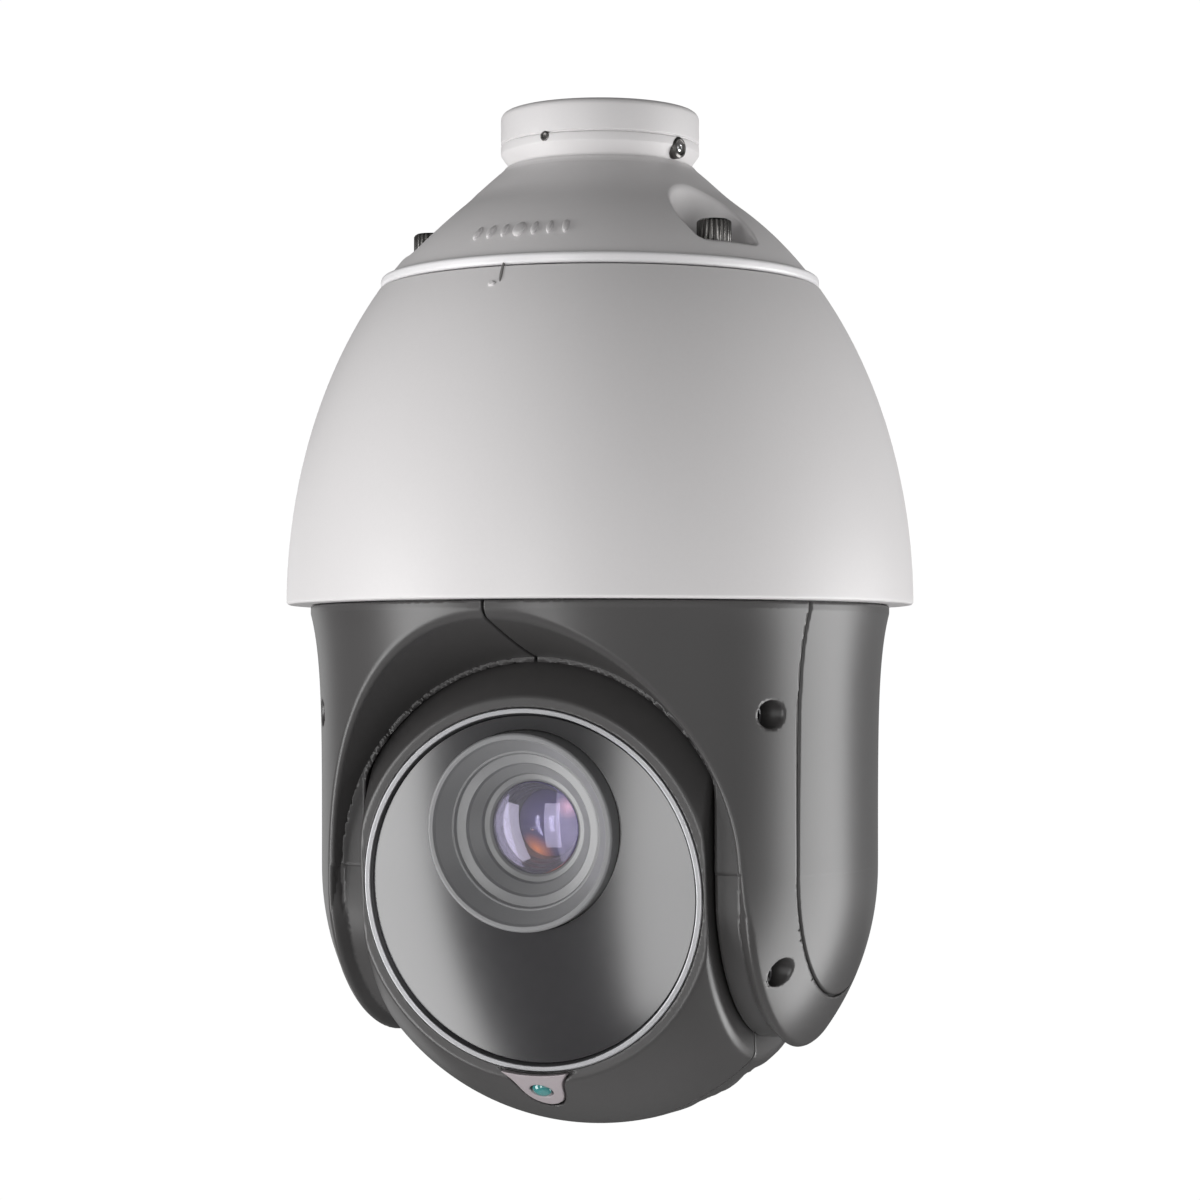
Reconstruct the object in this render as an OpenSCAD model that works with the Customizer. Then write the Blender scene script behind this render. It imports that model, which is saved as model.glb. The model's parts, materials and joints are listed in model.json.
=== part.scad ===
// Infrared speed-dome camera for a pipe-thread bracket, built as it comes apart on a bench.
// Origin: centre of the pipe-thread mouth on the collar's top face. +Z up, lens towards -Y.
// Depths are measured down from the collar's top face, so a depth d lies at z = -d.

/* [Pipe collar] */
// Wall diameter of the pipe-thread mouth, the minor diameter of a 1 1/2 inch parallel pipe thread
thread_d = 44.84; // [42:0.02:46]
// Depth of the threaded mouth
thread_len = 14; // [11:0.5:15]
// Wall of the collar round the thread
collar_wall = 4.98; // [4:0.02:6]
// Depth of the groove line round the collar
collar_groove_depth = 9; // [7:0.25:10]
// Wall of the neck under the collar
neck_wall = 2.68; // [2.4:0.02:3.4]
// Diameter of the hexagon-socket lock screw in the collar
lock_screw_d = 6; // [4:0.5:6.5]
// Diameter of the small set screw in the collar
set_screw_d = 3; // [2:0.5:4]

/* [Housing] */
// Outside diameter of the brim, the widest part
brim_d = 172; // [164:1:186]
// Depth of the brim's lower edge
brim_depth = 136; // [130:1:146]
// Height of the dome's ellipse above the brim
crown_h = 122.4; // [118:0.4:124]
// Wall of the cast cap
cap_wall = 4; // [3:0.25:4.5]
// Wall of the upper shell
shell_wall = 2.5; // [2:0.25:3]
// Depth of the joint where the cap ends
joint_depth = 46; // [45:0.5:48]
// Height of the bright trim ring in the joint
trim_h = 3; // [2:0.25:4]
// How far the trim ring stands proud of the shell
trim_proud = 1; // [0.4:0.2:1.6]
// Radius of the round pocket over each cap screw
pocket_r = 11.5; // [8.5:0.5:12]
// Distance of the cap screws from the axis
cap_screw_at = 47; // [46:0.5:48]
// Head diameter of the cap screws
cap_screw_head_d = 9; // [7:0.5:10]
// Shank diameter of the cap screws
cap_screw_d = 5; // [4:0.5:6]

/* [Pan drive] */
// Depth of the chassis plate's upper face
chassis_depth = 75; // [73:0.5:77]
// Thickness of the chassis plate
chassis_t = 3; // [2:0.5:4]
// Bore of the pan bearing, which is the spindle's diameter
pan_bearing_bore = 30; // [26:1:30]
// Outside diameter of the pan bearing
pan_bearing_od = 42; // [40:1:46]
// How far the pan bearing's races stand past its balls at each side
pan_bearing_lip = 1.14; // [0.8:0.02:1.4]
// Teeth on the large pan pulley
pan_pulley_teeth = 60; // [54:1:62]
// Teeth on the pan motor's pinion
pan_pinion_teeth = 12; // [10:1:14]
// Distance from the pan axis to the pan motor's shaft
pan_motor_at = 54; // [53:0.5:56]
// Diameter of the pan motor's body
pan_motor_d = 35; // [28:1:35]

/* [Yoke] */
// Outside diameter of the yoke
yoke_d = 152.4; // [150:0.2:153.6]
// Wall of the yoke halves
yoke_wall = 3; // [2.5:0.25:3.5]
// Depth of the tilt axis
axis_depth = 207; // [205:0.5:212]
// Half the width between the arms' outer creases
crease_x = 59; // [58:0.25:60]
// Half the width of each side cover
cover_half_w = 33.8; // [30:0.2:36]
// Thickness of the side covers
cover_t = 1.5; // [1:0.25:2]
// Gap round each side cover and at the yoke's seam
seam_gap = 0.4; // [0.2:0.1:0.8]
// Diameter of the recessed screw holes in the arms
arm_hole_d = 7.2; // [6.4:0.2:7.6]

/* [Tilt drive] */
// Bore of the tilt bearings, which is the tilt shafts' diameter
tilt_bearing_bore = 16; // [12:1:18]
// Outside diameter of the tilt bearings
tilt_bearing_od = 28; // [26:1:32]
// Width of the tilt bearings
tilt_bearing_w = 6; // [5:0.5:7]
// Teeth on the tilt pulley
tilt_pulley_teeth = 30; // [26:1:34]
// Teeth on the tilt motor's pinion
tilt_pinion_teeth = 10; // [10:1:12]
// Distance from the tilt axis up to the tilt motor's shaft
tilt_motor_up = 42; // [40:0.5:44]
// Diameter of the tilt motor's body
tilt_motor_d = 28; // [22:1:30]
// Tooth pitch of both drives
tooth_pitch = 4; // [3.8:0.1:4.2]

/* [Head] */
// Diameter of the ball
ball_d = 140.8; // [138:0.2:142]
// Width of the ball across its flat sides
ball_flats = 98; // [96:0.5:100]
// Wall of the ball
ball_wall = 3; // [2.5:0.25:3.5]
// Gap between the ball and the yoke
ball_gap = 0.7; // [0.5:0.1:1]
// Tilt of the lens below level as modelled, in degrees
rest_tilt = 5; // [0:1:10]
// Radius of the front face cut across the ball
face_r = 50.7; // [50:0.1:52]
// Diameter of the front window
window_d = 91; // [88:0.5:92]
// Thickness of the front window
window_t = 3; // [2:0.5:4]
// Width of the bright rim round the window
rim_w = 2.4; // [1.5:0.1:2.6]
// Width of the glass left between the lens hood and the window's edge, above the hood
hood_edge = 3.7; // [3:0.1:6]
// Outside diameter of the lens hood
hood_d = 52; // [48:0.5:53]
// How far the lens hood stands out of the window
hood_proud = 6.5; // [4:0.5:7]
// Width of each cooling pocket round the back
pocket_w = 7.6; // [5:0.2:8.4]
// Distance between the cooling pockets
pocket_pitch = 10.2; // [9:0.1:10.6]
// Depth of the cooling pockets
pocket_deep = 5; // [3:0.5:6]
// Diameter of the light sensor
sensor_d = 6; // [5:0.5:8]
// Travel of the zoom group
zoom_travel = 14; // [8:1:15]
// Travel of the focus group
focus_travel = 8; // [4:1:9]
// Travel of the infrared-cut filter
filter_travel = 12; // [11:1:13]

/* [Hidden] */
$fn = 64;

// Clearance between moving curved faces, and a hair's cut past a face
run_gap = 0.4;
cut = 0.5;

thread_r = thread_d / 2;
collar_r = thread_r + collar_wall;
neck_r = thread_r + neck_wall;
brim_r = brim_d / 2;
yoke_r = yoke_d / 2;
ball_r = ball_d / 2;
flat_x = ball_flats / 2;
arm_x = flat_x + ball_gap;
cavity_r = ball_r + ball_gap;

// Radius of the dome's ellipse at a depth
function dome_r(d) = brim_r * sqrt(1 - pow((brim_depth - d) / crown_h, 2));
// Points of the dome from one depth to another, set in by a wall
function dome_points(from, to, inset, n) =
  [for (i = [0 : n]) let(d = from + (to - from) * i / n) [dome_r(d) - inset, -d]];

// Places round the pan axis: 0 looks along -Y and angles grow towards +X
module around(angle) { rotate([0, 0, angle]) children(); }
module ring(r_out, r_in, top, bottom) {
  difference() {
    translate([0, 0, -bottom]) cylinder(r = r_out, h = bottom - top);
    translate([0, 0, -bottom - cut]) cylinder(r = r_in, h = bottom - top + 2 * cut);
  }
}
module post(r, top, bottom) { translate([0, 0, -bottom]) cylinder(r = r, h = bottom - top); }
// A cylinder along +X that starts at x0
module rod_x(r, x0, x1) { translate([x0, 0, 0]) rotate([0, 90, 0]) cylinder(r = r, h = x1 - x0); }
// A cylinder along the lens axis between two distances in front of the tilt axis
module rod_y(r, front, back) {
  translate([0, -back, 0]) rotate([90, 0, 0]) cylinder(r = r, h = front - back);
}
module tube_y(r_out, r_in, front, back) {
  difference() {
    rod_y(r_out, front, back);
    rod_y(r_in, front + cut, back - cut);
  }
}
module at_tilt_axis() { translate([0, 0, -axis_depth]) children(); }
module in_head() { at_tilt_axis() rotate([rest_tilt, 0, 0]) children(); }
module both_sides() {
  children();
  mirror([1, 0, 0]) children();
}
module front_and_back() {
  children();
  mirror([0, 1, 0]) children();
}

// Pipe collar and cap
cap_screw_angles = [62, 182, 302];
lock_screw_angle = 74;
set_screw_angle = -11;
lock_screw_depth = 12;
set_screw_depth = 10;
pocket_floor = 41;
floor_t = 2.5;
throat_r = thread_r + 1.6;
throat_end = thread_len + 5;
shoulder_end = 25.4;
inner_start = 28;
boss_r = 6;
collar_round = 3;
groove_in = 0.8;
shell_top = joint_depth + trim_h;
flange_t = 3;
flange_r = 38;

module collar_outline() {
  polygon(concat(
    [[thread_r, 0]],
    [for (a = [0 : 15 : 90])
      [collar_r - collar_round * (1 - sin(a)), -collar_round * (1 - cos(a))]],
    [[collar_r, -collar_groove_depth + groove_in / 2], [collar_r - groove_in, -collar_groove_depth],
     [collar_r, -collar_groove_depth - groove_in / 2], [collar_r, -collar_groove_depth - 2.5],
     [neck_r + 0.6, -collar_groove_depth - 5], [neck_r, -collar_groove_depth - 5.8],
     [neck_r, -collar_groove_depth - 6.4], [neck_r + 1.6, -collar_groove_depth - 7.3],
     [neck_r + 4.4, -collar_groove_depth - 9.7]],
    dome_points(shoulder_end, joint_depth, 0, 16),
    dome_points(joint_depth, inner_start, cap_wall, 14),
    [[throat_r, -throat_end], [throat_r, -thread_len - 1.6], [thread_r, -thread_len]]
  ));
}
module dome_solid(from, to, inset) {
  rotate_extrude()
    polygon(concat([[0, -from]], dome_points(from, to, inset, 16), [[0, -to]]));
}
module mount_cap() {
  color("#c9c9c6") difference() {
    union() {
      rotate_extrude() collar_outline();
      intersection() {
        dome_solid(shoulder_end, joint_depth, cap_wall / 2);
        for (a = cap_screw_angles) around(a)
          translate([0, -cap_screw_at, 0]) post(pocket_r + floor_t, shoulder_end, pocket_floor + floor_t);
      }
      for (a = cap_screw_angles) around(a)
        translate([0, -cap_screw_at, 0]) post(boss_r, pocket_floor + 0.5, shell_top);
    }
    for (a = cap_screw_angles) around(a) translate([0, -cap_screw_at, 0]) {
      post(pocket_r, shoulder_end - 4, pocket_floor);
      post(cap_screw_d / 2, pocket_floor - cut, shell_top + cut);
    }
    around(lock_screw_angle) translate([0, 0, -lock_screw_depth])
      rod_y(lock_screw_d / 2, collar_r + 2, thread_r - 2);
    around(set_screw_angle) translate([0, 0, -set_screw_depth])
      rod_y(set_screw_d / 2, collar_r + 2, thread_r - 2);
  }
}
// A set screw with a hexagon socket, flush inside the thread
module collar_screw(d, angle, depth, stand_in) {
  around(angle) translate([0, 0, -depth]) difference() {
    rod_y(d / 2, collar_r - stand_in, thread_r + 0.3);
    translate([0, -collar_r + stand_in + d / 3, 0]) rotate([90, 0, 0]) cylinder(r = d * 0.29, h = d, $fn = 6);
  }
}
module collar_lock_screw() {
  color("#d8d8d8") collar_screw(lock_screw_d, lock_screw_angle, lock_screw_depth, 0.3);
}
module collar_set_screw() {
  color("#808080") collar_screw(set_screw_d, set_screw_angle, set_screw_depth, 1.2);
}
module cable_grommet() {
  color("#202022") difference() {
    post(throat_r, thread_len + 1.8, throat_end);
    post(5, thread_len, throat_end + 1);
    for (a = [60, 180, 300]) around(a) translate([0, -13, 0]) post(2.5, thread_len, throat_end + 1);
  }
}
cap_head_h = 6.5;
module cap_screws() {
  color("#b0b2b4") for (a = cap_screw_angles) around(a) translate([0, -cap_screw_at, 0]) difference() {
    union() {
      post(cap_screw_head_d / 2, pocket_floor - cap_head_h, pocket_floor);
      post(cap_screw_d / 2, pocket_floor, shell_top + flange_t);
    }
    translate([0, 0, -pocket_floor + cap_head_h - 3])
      cylinder(r = cap_screw_head_d * 0.27, h = 3 + cut, $fn = 6);
  }
}
gasket_out = dome_r(joint_depth) - 1.4;
module cap_gasket() {
  color("#1c1c1e") ring(gasket_out, gasket_out - 3, joint_depth, shell_top);
}
trim_r = dome_r(joint_depth + trim_h / 2) + trim_proud;
module trim_ring() {
  color("#dadad8") rotate_extrude() polygon([
    [gasket_out, -joint_depth], [trim_r - 0.6, -joint_depth], [trim_r, -joint_depth - 0.6],
    [trim_r, -shell_top + 0.6], [trim_r - 0.6, -shell_top], [gasket_out, -shell_top]]);
}

// Upper shell with its ledge for the chassis and its lip over the yoke
lip_t = 2.5;
yoke_neck_r = yoke_r + 0.8;
lip_r = yoke_neck_r + 1.5;
ledge_t = 3;
ledge_r = dome_r(chassis_depth) - shell_wall - 8;
chassis_r = dome_r(chassis_depth) - shell_wall - 2;
chassis_screw_at = chassis_r - 3;
chassis_screw_angles = [30, 120, 210, 300];
module upper_shell() {
  color("#d6d6d4") difference() {
    rotate_extrude() polygon(concat(
      dome_points(shell_top, brim_depth, 0, 30), [[lip_r, -brim_depth], [lip_r, -brim_depth + lip_t]],
      dome_points(brim_depth - lip_t, chassis_depth, shell_wall, 20),
      [[ledge_r, -chassis_depth], [ledge_r, -chassis_depth + ledge_t]],
      dome_points(chassis_depth - ledge_t, shell_top + flange_t, shell_wall, 8),
      [[flange_r, -shell_top - flange_t], [flange_r, -shell_top]]));
    for (a = cap_screw_angles) around(a)
      translate([0, -cap_screw_at, 0]) post(cap_screw_d / 2, shell_top - cut, shell_top + flange_t + cut);
    for (a = chassis_screw_angles) around(a)
      translate([0, -chassis_screw_at, 0]) post(1.5, chassis_depth - ledge_t - cut, chassis_depth + cut);
  }
}
module pan_seal() {
  color("#18181a") ring(dome_r(brim_depth - lip_t) - shell_wall - 0.6, yoke_neck_r + 0.7,
    brim_depth - lip_t - 2, brim_depth - lip_t);
}

// Chassis, boards and slip ring
chassis_end = chassis_depth + chassis_t;
chassis_hole_at = 54;
slip_r = 11;
slip_bore = slip_r - 1.4;
carrier_wall = 4;
carrier_r = pan_bearing_od / 2 + carrier_wall;
standoff_h = 10;
board_r = 48;
board_t = 1.6;
board_bottom = chassis_depth - standoff_h;
standoff_at = 42;
standoff_angles = [45, 135, 225, 315];
module chassis_plate() {
  color("#a8acb0") difference() {
    post(chassis_r, chassis_depth, chassis_end);
    post(slip_r + run_gap, chassis_depth - cut, chassis_end + cut);
    for (a = chassis_screw_angles) around(a)
      translate([0, -chassis_screw_at, 0]) post(1.5, chassis_depth - cut, chassis_end + cut);
    for (a = standoff_angles) around(a)
      translate([0, -standoff_at, 0]) post(1.5, chassis_depth - cut, chassis_end + cut);
    for (a = [0, 90, 270]) around(a)
      translate([0, -chassis_hole_at, 0]) post(5, chassis_depth - cut, chassis_end + cut);
  }
}
module chassis_screws() {
  color("#b8babc") for (a = chassis_screw_angles) around(a) translate([0, -chassis_screw_at, 0]) difference() {
    union() {
      post(1.5, chassis_depth - ledge_t, chassis_end);
      post(2.8, chassis_end, chassis_end + 2);
    }
    translate([0, 0, -chassis_end - 2 - cut]) cylinder(r = 1.4, h = 1 + cut, $fn = 6);
  }
}
module board_standoffs() {
  color("#c8b060") for (a = standoff_angles) around(a) translate([0, -standoff_at, 0]) {
    translate([0, 0, -chassis_depth]) cylinder(r = 3.2, h = standoff_h, $fn = 6);
    post(1.5, chassis_depth, chassis_end);
  }
}
module power_board() {
  color("#1f5a3c") difference() {
    post(board_r, board_bottom - board_t, board_bottom);
    for (a = [0 : 90 : 270]) around(a)
      translate([0, -board_r + 1, 0]) post(3, board_bottom - board_t - cut, board_bottom + cut);
  }
}
module board_block(x, y, w, l, h) {
  translate([x - w / 2, y - l / 2, -board_bottom + board_t]) cube([w, l, h]);
}
module power_board_parts() {
  parts_room = board_bottom - board_t - shell_top - flange_t - 1;
  color("#303438") {
    board_block(-22, 14, 18, 20, parts_room - 2);
    board_block(0, -26, 26, 9, parts_room - 1);
    board_block(24, 8, 12, 24, parts_room - 3);
    for (i = [0 : 2])
      translate([-14 + i * 13, 34, -board_bottom + board_t]) cylinder(r = 5, h = parts_room - 0.5);
    for (i = [0 : 3]) board_block(-26 + i * 6, -12, 4, 5, 2);
  }
}
module slip_ring_stator() {
  color("#2a2c30") {
    ring(slip_r, slip_bore, chassis_depth - 2, pan_bearing_end - 1);
    ring(slip_r + 5, slip_r - 1, chassis_depth - 2, chassis_depth);
  }
}

// Pan spindle, bearing and belt drive
deck_depth = brim_depth - 8;
turntable_t = 3;
turntable_hole_at = 58;
turntable_top = deck_depth - turntable_t;
pulley_h = 8;
pulley_top = turntable_top - pulley_h;
pan_bearing_end = pulley_top - 6;
race_t = (pan_bearing_od - pan_bearing_bore) / 6;
pan_ball_at = (pan_bearing_od + pan_bearing_bore) / 4;
pan_ball_r = race_t * 1.18;
pan_bearing_w = 2 * (pan_ball_r + pan_bearing_lip);
pan_bearing_top = pan_bearing_end - pan_bearing_w;
spindle_r = pan_bearing_bore / 2;
spindle_bore = slip_r + 1;
pan_pulley_r = pan_pulley_teeth * tooth_pitch / (2 * PI);
pan_pinion_r = pan_pinion_teeth * tooth_pitch / (2 * PI);
tilt_pulley_r = tilt_pulley_teeth * tooth_pitch / (2 * PI);
tilt_pinion_r = tilt_pinion_teeth * tooth_pitch / (2 * PI);
belt_t = 1.4;
tooth_deep = 0.9;
motor_angle = 150;
shaft_r = 2.5;
shaft_gap = 0.05;
ball_gap_to_race = 0.3;

module pan_carrier() {
  color("#9a9ea2") difference() {
    union() {
      ring(carrier_r + 6, slip_r + 4, chassis_end, chassis_end + 3);
      ring(carrier_r, slip_r + 4, chassis_end, pan_bearing_top);
      ring(carrier_r, pan_bearing_od / 2, pan_bearing_top - 0.01, pan_bearing_end);
    }
    post(spindle_r + 3, pan_bearing_top - 16, pan_bearing_top + cut);
  }
}
// Half of a deep-groove ball bearing: a race with its round track
module race(r_out, r_in, track_at, track_r, width) {
  rotate_extrude() difference() {
    translate([r_in, 0]) square([r_out - r_in, width]);
    translate([track_at, width / 2]) circle(r = track_r);
  }
}
module pan_bearing_outer() {
  color("#b8bcc0") translate([0, 0, -pan_bearing_end])
    race(pan_bearing_od / 2, pan_bearing_od / 2 - race_t, pan_ball_at,
      pan_ball_r + ball_gap_to_race, pan_bearing_w);
}
module pan_bearing_inner() {
  color("#b8bcc0") translate([0, 0, -pan_bearing_end])
    race(spindle_r + race_t, spindle_r, pan_ball_at, pan_ball_r, pan_bearing_w);
}
module pan_bearing_balls() {
  color("#e0e2e4") for (a = [0 : 24 : 336])
    around(a) translate([0, -pan_ball_at, -pan_bearing_end + pan_bearing_w / 2]) sphere(r = pan_ball_r);
}
module turntable() {
  color("#8c9094") {
    difference() {
      post(yoke_neck_r - 0.2, turntable_top, deck_depth);
      post(spindle_bore, turntable_top - cut, deck_depth + cut);
      for (a = [45 : 90 : 315]) around(a)
        translate([0, -turntable_hole_at, 0]) post(6, turntable_top - cut, deck_depth + cut);
      for (a = turntable_screw_angles) around(a)
        translate([0, -turntable_screw_at, 0]) post(1.5, turntable_top - cut, deck_depth + cut);
    }
    ring(spindle_r, spindle_bore, pan_bearing_top - 3, turntable_top + 0.01);
  }
}
// A toothed belt pulley standing on z = 0
module toothed(r, teeth, h) {
  difference() {
    cylinder(r = r, h = h);
    for (i = [0 : teeth - 1]) rotate([0, 0, 360 * i / teeth])
      translate([r - tooth_deep, -tooth_pitch / 4, -cut]) cube([tooth_deep + cut, tooth_pitch / 2, h + 2 * cut]);
  }
}
module pan_pulley() {
  color("#2c2e32") translate([0, 0, -turntable_top]) difference() {
    toothed(pan_pulley_r, pan_pulley_teeth, pulley_h);
    translate([0, 0, -cut]) cylinder(r = carrier_r + 2, h = pulley_h + 2 * cut);
  }
}
module at_pan_motor() { around(motor_angle) translate([0, -pan_motor_at, 0]) children(); }
module pan_motor() {
  color("#4a4d52") at_pan_motor() {
    post(pan_motor_d / 2, chassis_end, pulley_top - 5);
    post(pan_motor_d / 4, pulley_top - 5, pulley_top - 3);
    post(shaft_r, pulley_top - 3, turntable_top - 1);
  }
}
module pan_pinion() {
  color("#d0b060") at_pan_motor() translate([0, 0, -turntable_top + 0.6]) difference() {
    toothed(pan_pinion_r, pan_pinion_teeth, pulley_h - 0.6);
    translate([0, 0, -cut]) cylinder(r = shaft_r + shaft_gap, h = pulley_h + cut);
  }
}
// A belt loop round two pulleys a distance apart along +Y, standing on z = 0
module belt_loop(r_big, r_small, apart, h) {
  difference() {
    belt_solid(r_big + run_gap + belt_t, r_small + run_gap + belt_t, apart, h, 0);
    belt_solid(r_big + run_gap, r_small + run_gap, apart, h, cut);
  }
}
module belt_solid(r1, r2, apart, h, over) {
  lean = asin((r1 - r2) / apart);
  translate([0, 0, -over]) {
    cylinder(r = r1, h = h + 2 * over);
    translate([0, apart, 0]) cylinder(r = r2, h = h + 2 * over);
    linear_extrude(height = h + 2 * over) polygon([
      [r1 * cos(lean), r1 * sin(lean)], [r2 * cos(lean), apart + r2 * sin(lean)],
      [-r2 * cos(lean), apart + r2 * sin(lean)], [-r1 * cos(lean), r1 * sin(lean)]]);
  }
}
belt_h = pulley_h - 2;
module pan_belt() {
  color("#121214") around(motor_angle + 180) translate([0, 0, -turntable_top + 1])
    belt_loop(pan_pulley_r, pan_pinion_r, pan_motor_at, belt_h);
}
module slip_ring_rotor() {
  color("#6a5a30") {
    post(slip_bore - run_gap, chassis_depth + 1, pan_bearing_end - 1);
    post(5, pan_bearing_end - 1, turntable_top);
    post(spindle_bore, pan_bearing_end + 2, pan_bearing_end + 5);
  }
}

// Yoke: one outline of revolution, opened by a bell mouth front and back
flare_top = brim_depth + 2.4;
// How far the arms flare past the yoke's radius, and how far below the flare's top
flare = [[3.2, 0], [1.8, 8], [1, 14.6], [0.4, 24.6], [0.1, 32]];
crease_y = sqrt(pow(yoke_r, 2) - pow(crease_x, 2));
mouth_y = crease_y - 3.2;
mouth_in_r = sqrt(pow(cavity_r, 2) - pow(mouth_y, 2)) + 0.5;
mouth_flare = 6.6;
mouth_step = 1;
disc_r = mouth_y - 0.4;
disc_bevel = 3;
crease_land = 0.6;
post_r = 4;
turntable_screw_at = yoke_neck_r - yoke_wall - 3;
turntable_screw_angles = [30, 150, 210, 330];
cover_top = axis_depth - flare_top - 0.8;
arm_holes = [[41.6, 41.7], [33.4, -24.7]];
arm_hole_floor = crease_x - 1;
bearing_x = arm_x + yoke_wall;
bearing_end_x = bearing_x + tilt_bearing_w;
tilt_pulley_x = bearing_end_x + 2;
tilt_pulley_w = 6;

module yoke_solid(inset) {
  deck = -deck_depth + (inset > 0 ? cut : 0);
  rotate_extrude() polygon(concat(
    [[0, deck], [yoke_neck_r - inset, deck], [yoke_neck_r - inset, -flare_top - inset],
     [yoke_r + flare[0][0] - 0.3 - inset, -flare_top - inset], [yoke_r + flare[0][0] - inset, -flare_top - inset - 1]],
    [for (p = flare) if (p[1] > 0) [yoke_r + p[0] - inset, -flare_top - p[1]]],
    [for (a = [0 : 5 : 90]) [(yoke_r - inset) * cos(a), -axis_depth - (yoke_r - inset) * sin(a)]]));
}
// Bell mouth in front of the ball, round the lens axis
module mouth(grow) {
  at_tilt_axis() front_and_back() rotate([90, 0, 0]) rotate_extrude() polygon(concat(
    [[0, mouth_y - grow], [mouth_in_r + grow, mouth_y - grow]],
    [for (i = [0 : 8]) [crease_x + mouth_step / 2 + grow + mouth_flare * pow(i / 8, 1.2),
      crease_y + mouth_step + (yoke_r - crease_y) * i / 8]],
    [[crease_x + grow + mouth_flare + 3, yoke_r + 10], [0, yoke_r + 10]]));
}
module ball_cavity(grow) {
  at_tilt_axis() intersection() {
    sphere(r = cavity_r + grow, $fn = 96);
    cube([2 * (arm_x + grow), 3 * yoke_r, 3 * yoke_r], center = true);
  }
}
// The space between the arms below the tilt axis, clear of each arm's round inner disc
module arm_channel(grow) {
  at_tilt_axis() difference() {
    translate([-crease_x - grow, -2 * yoke_r, -2 * yoke_r]) cube([2 * (crease_x + grow), 4 * yoke_r, 2 * yoke_r]);
    both_sides() {
      rod_x(disc_r - grow, arm_x + grow, crease_x + grow + 1);
      if (grow == 0) translate([crease_x - disc_bevel, 0, 0]) rotate([0, 90, 0])
        cylinder(r1 = disc_r, r2 = crease_y - crease_land, h = disc_bevel + 1);
    }
  }
}
module yoke_cuts(grow) {
  mouth(grow);
  ball_cavity(grow);
  arm_channel(grow);
}
// The U-shaped outline of a side cover, run out along +X
module cover_prism(half_w, top, from_x) {
  at_tilt_axis() translate([from_x, 0, 0]) rotate([90, 0, 90]) linear_extrude(height = yoke_r) {
    circle(r = half_w);
    translate([-half_w, 0]) square([2 * half_w, top]);
  }
}
module arm_hole_places() {
  at_tilt_axis() front_and_back() for (p = arm_holes) translate([0, -p[0], p[1]]) children();
}
// The right half of the yoke; the left half is its mirror
module yoke_half() {
  difference() {
    intersection() {
      union() {
        difference() {
          yoke_solid(0);
          yoke_cuts(0);
          difference() {
            yoke_solid(yoke_wall);
            yoke_cuts(yoke_wall);
          }
        }
        difference() {
          intersection() {
            yoke_solid(0);
            union() {
              arm_hole_places() rod_x(arm_hole_d / 2 + 2, bearing_x - 1, yoke_r);
              at_tilt_axis() rod_x(tilt_bearing_od / 2 + 3, bearing_x - 1, bearing_end_x);
              for (a = turntable_screw_angles) around(a)
                translate([0, -turntable_screw_at, 0]) post(post_r, deck_depth, deck_depth + 12);
            }
          }
          yoke_cuts(0);
        }
      }
      translate([0, -2 * yoke_r, -axis_depth - 2 * yoke_r]) cube([2 * yoke_r, 4 * yoke_r, 4 * yoke_r]);
    }
    arm_hole_places() {
      rod_x(arm_hole_d / 2, arm_hole_floor, yoke_r + 5);
      rod_x(1.5, bearing_x + 1, arm_hole_floor + cut);
    }
    at_tilt_axis() {
      rod_x(tilt_bearing_od / 2, bearing_x, bearing_end_x + cut);
      rod_x(tilt_bearing_bore / 2 + 2.5, arm_x - cut, bearing_x + cut);
    }
    difference() {
      cover_prism(cover_half_w, cover_top, crease_x);
      yoke_solid(cover_t);
    }
    cover_prism(cover_half_w - 3, cover_top - 3, crease_x + 4);
    for (a = turntable_screw_angles) around(a)
      translate([0, -turntable_screw_at, 0]) post(1.5, deck_depth - cut, deck_depth + 10);
    difference() {
      translate([-1, -2 * yoke_r, -axis_depth]) cube([1 + seam_gap / 2, 4 * yoke_r, 2 * axis_depth]);
      yoke_solid(seam_gap + 0.4);
    }
  }
}
module yoke_right() { color("#4c4c50") yoke_half(); }
module yoke_left() { color("#4c4c50") mirror([1, 0, 0]) yoke_half(); }
module side_cover() {
  intersection() {
    difference() {
      yoke_solid(0);
      yoke_solid(cover_t);
    }
    cover_prism(cover_half_w - seam_gap, cover_top - seam_gap, crease_x);
  }
}
module side_cover_right() { color("#4f4f53") side_cover(); }
module side_cover_left() { color("#4f4f53") mirror([1, 0, 0]) side_cover(); }
module arm_screws() {
  color("#8a8c90") both_sides() arm_hole_places() difference() {
    union() {
      rod_x(arm_hole_d / 2 - 0.5, arm_hole_floor, arm_hole_floor + 2.5);
      rod_x(1.5, bearing_x + 1, arm_hole_floor);
    }
    translate([arm_hole_floor + 1, 0, 0]) rotate([0, 90, 0]) cylinder(r = 1.5, h = 3, $fn = 6);
  }
}
module turntable_screws() {
  color("#b8babc") for (a = turntable_screw_angles) around(a) translate([0, -turntable_screw_at, 0]) {
    post(2.8, turntable_top - 1.8, turntable_top);
    post(1.5, turntable_top, deck_depth + 10);
  }
}

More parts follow.
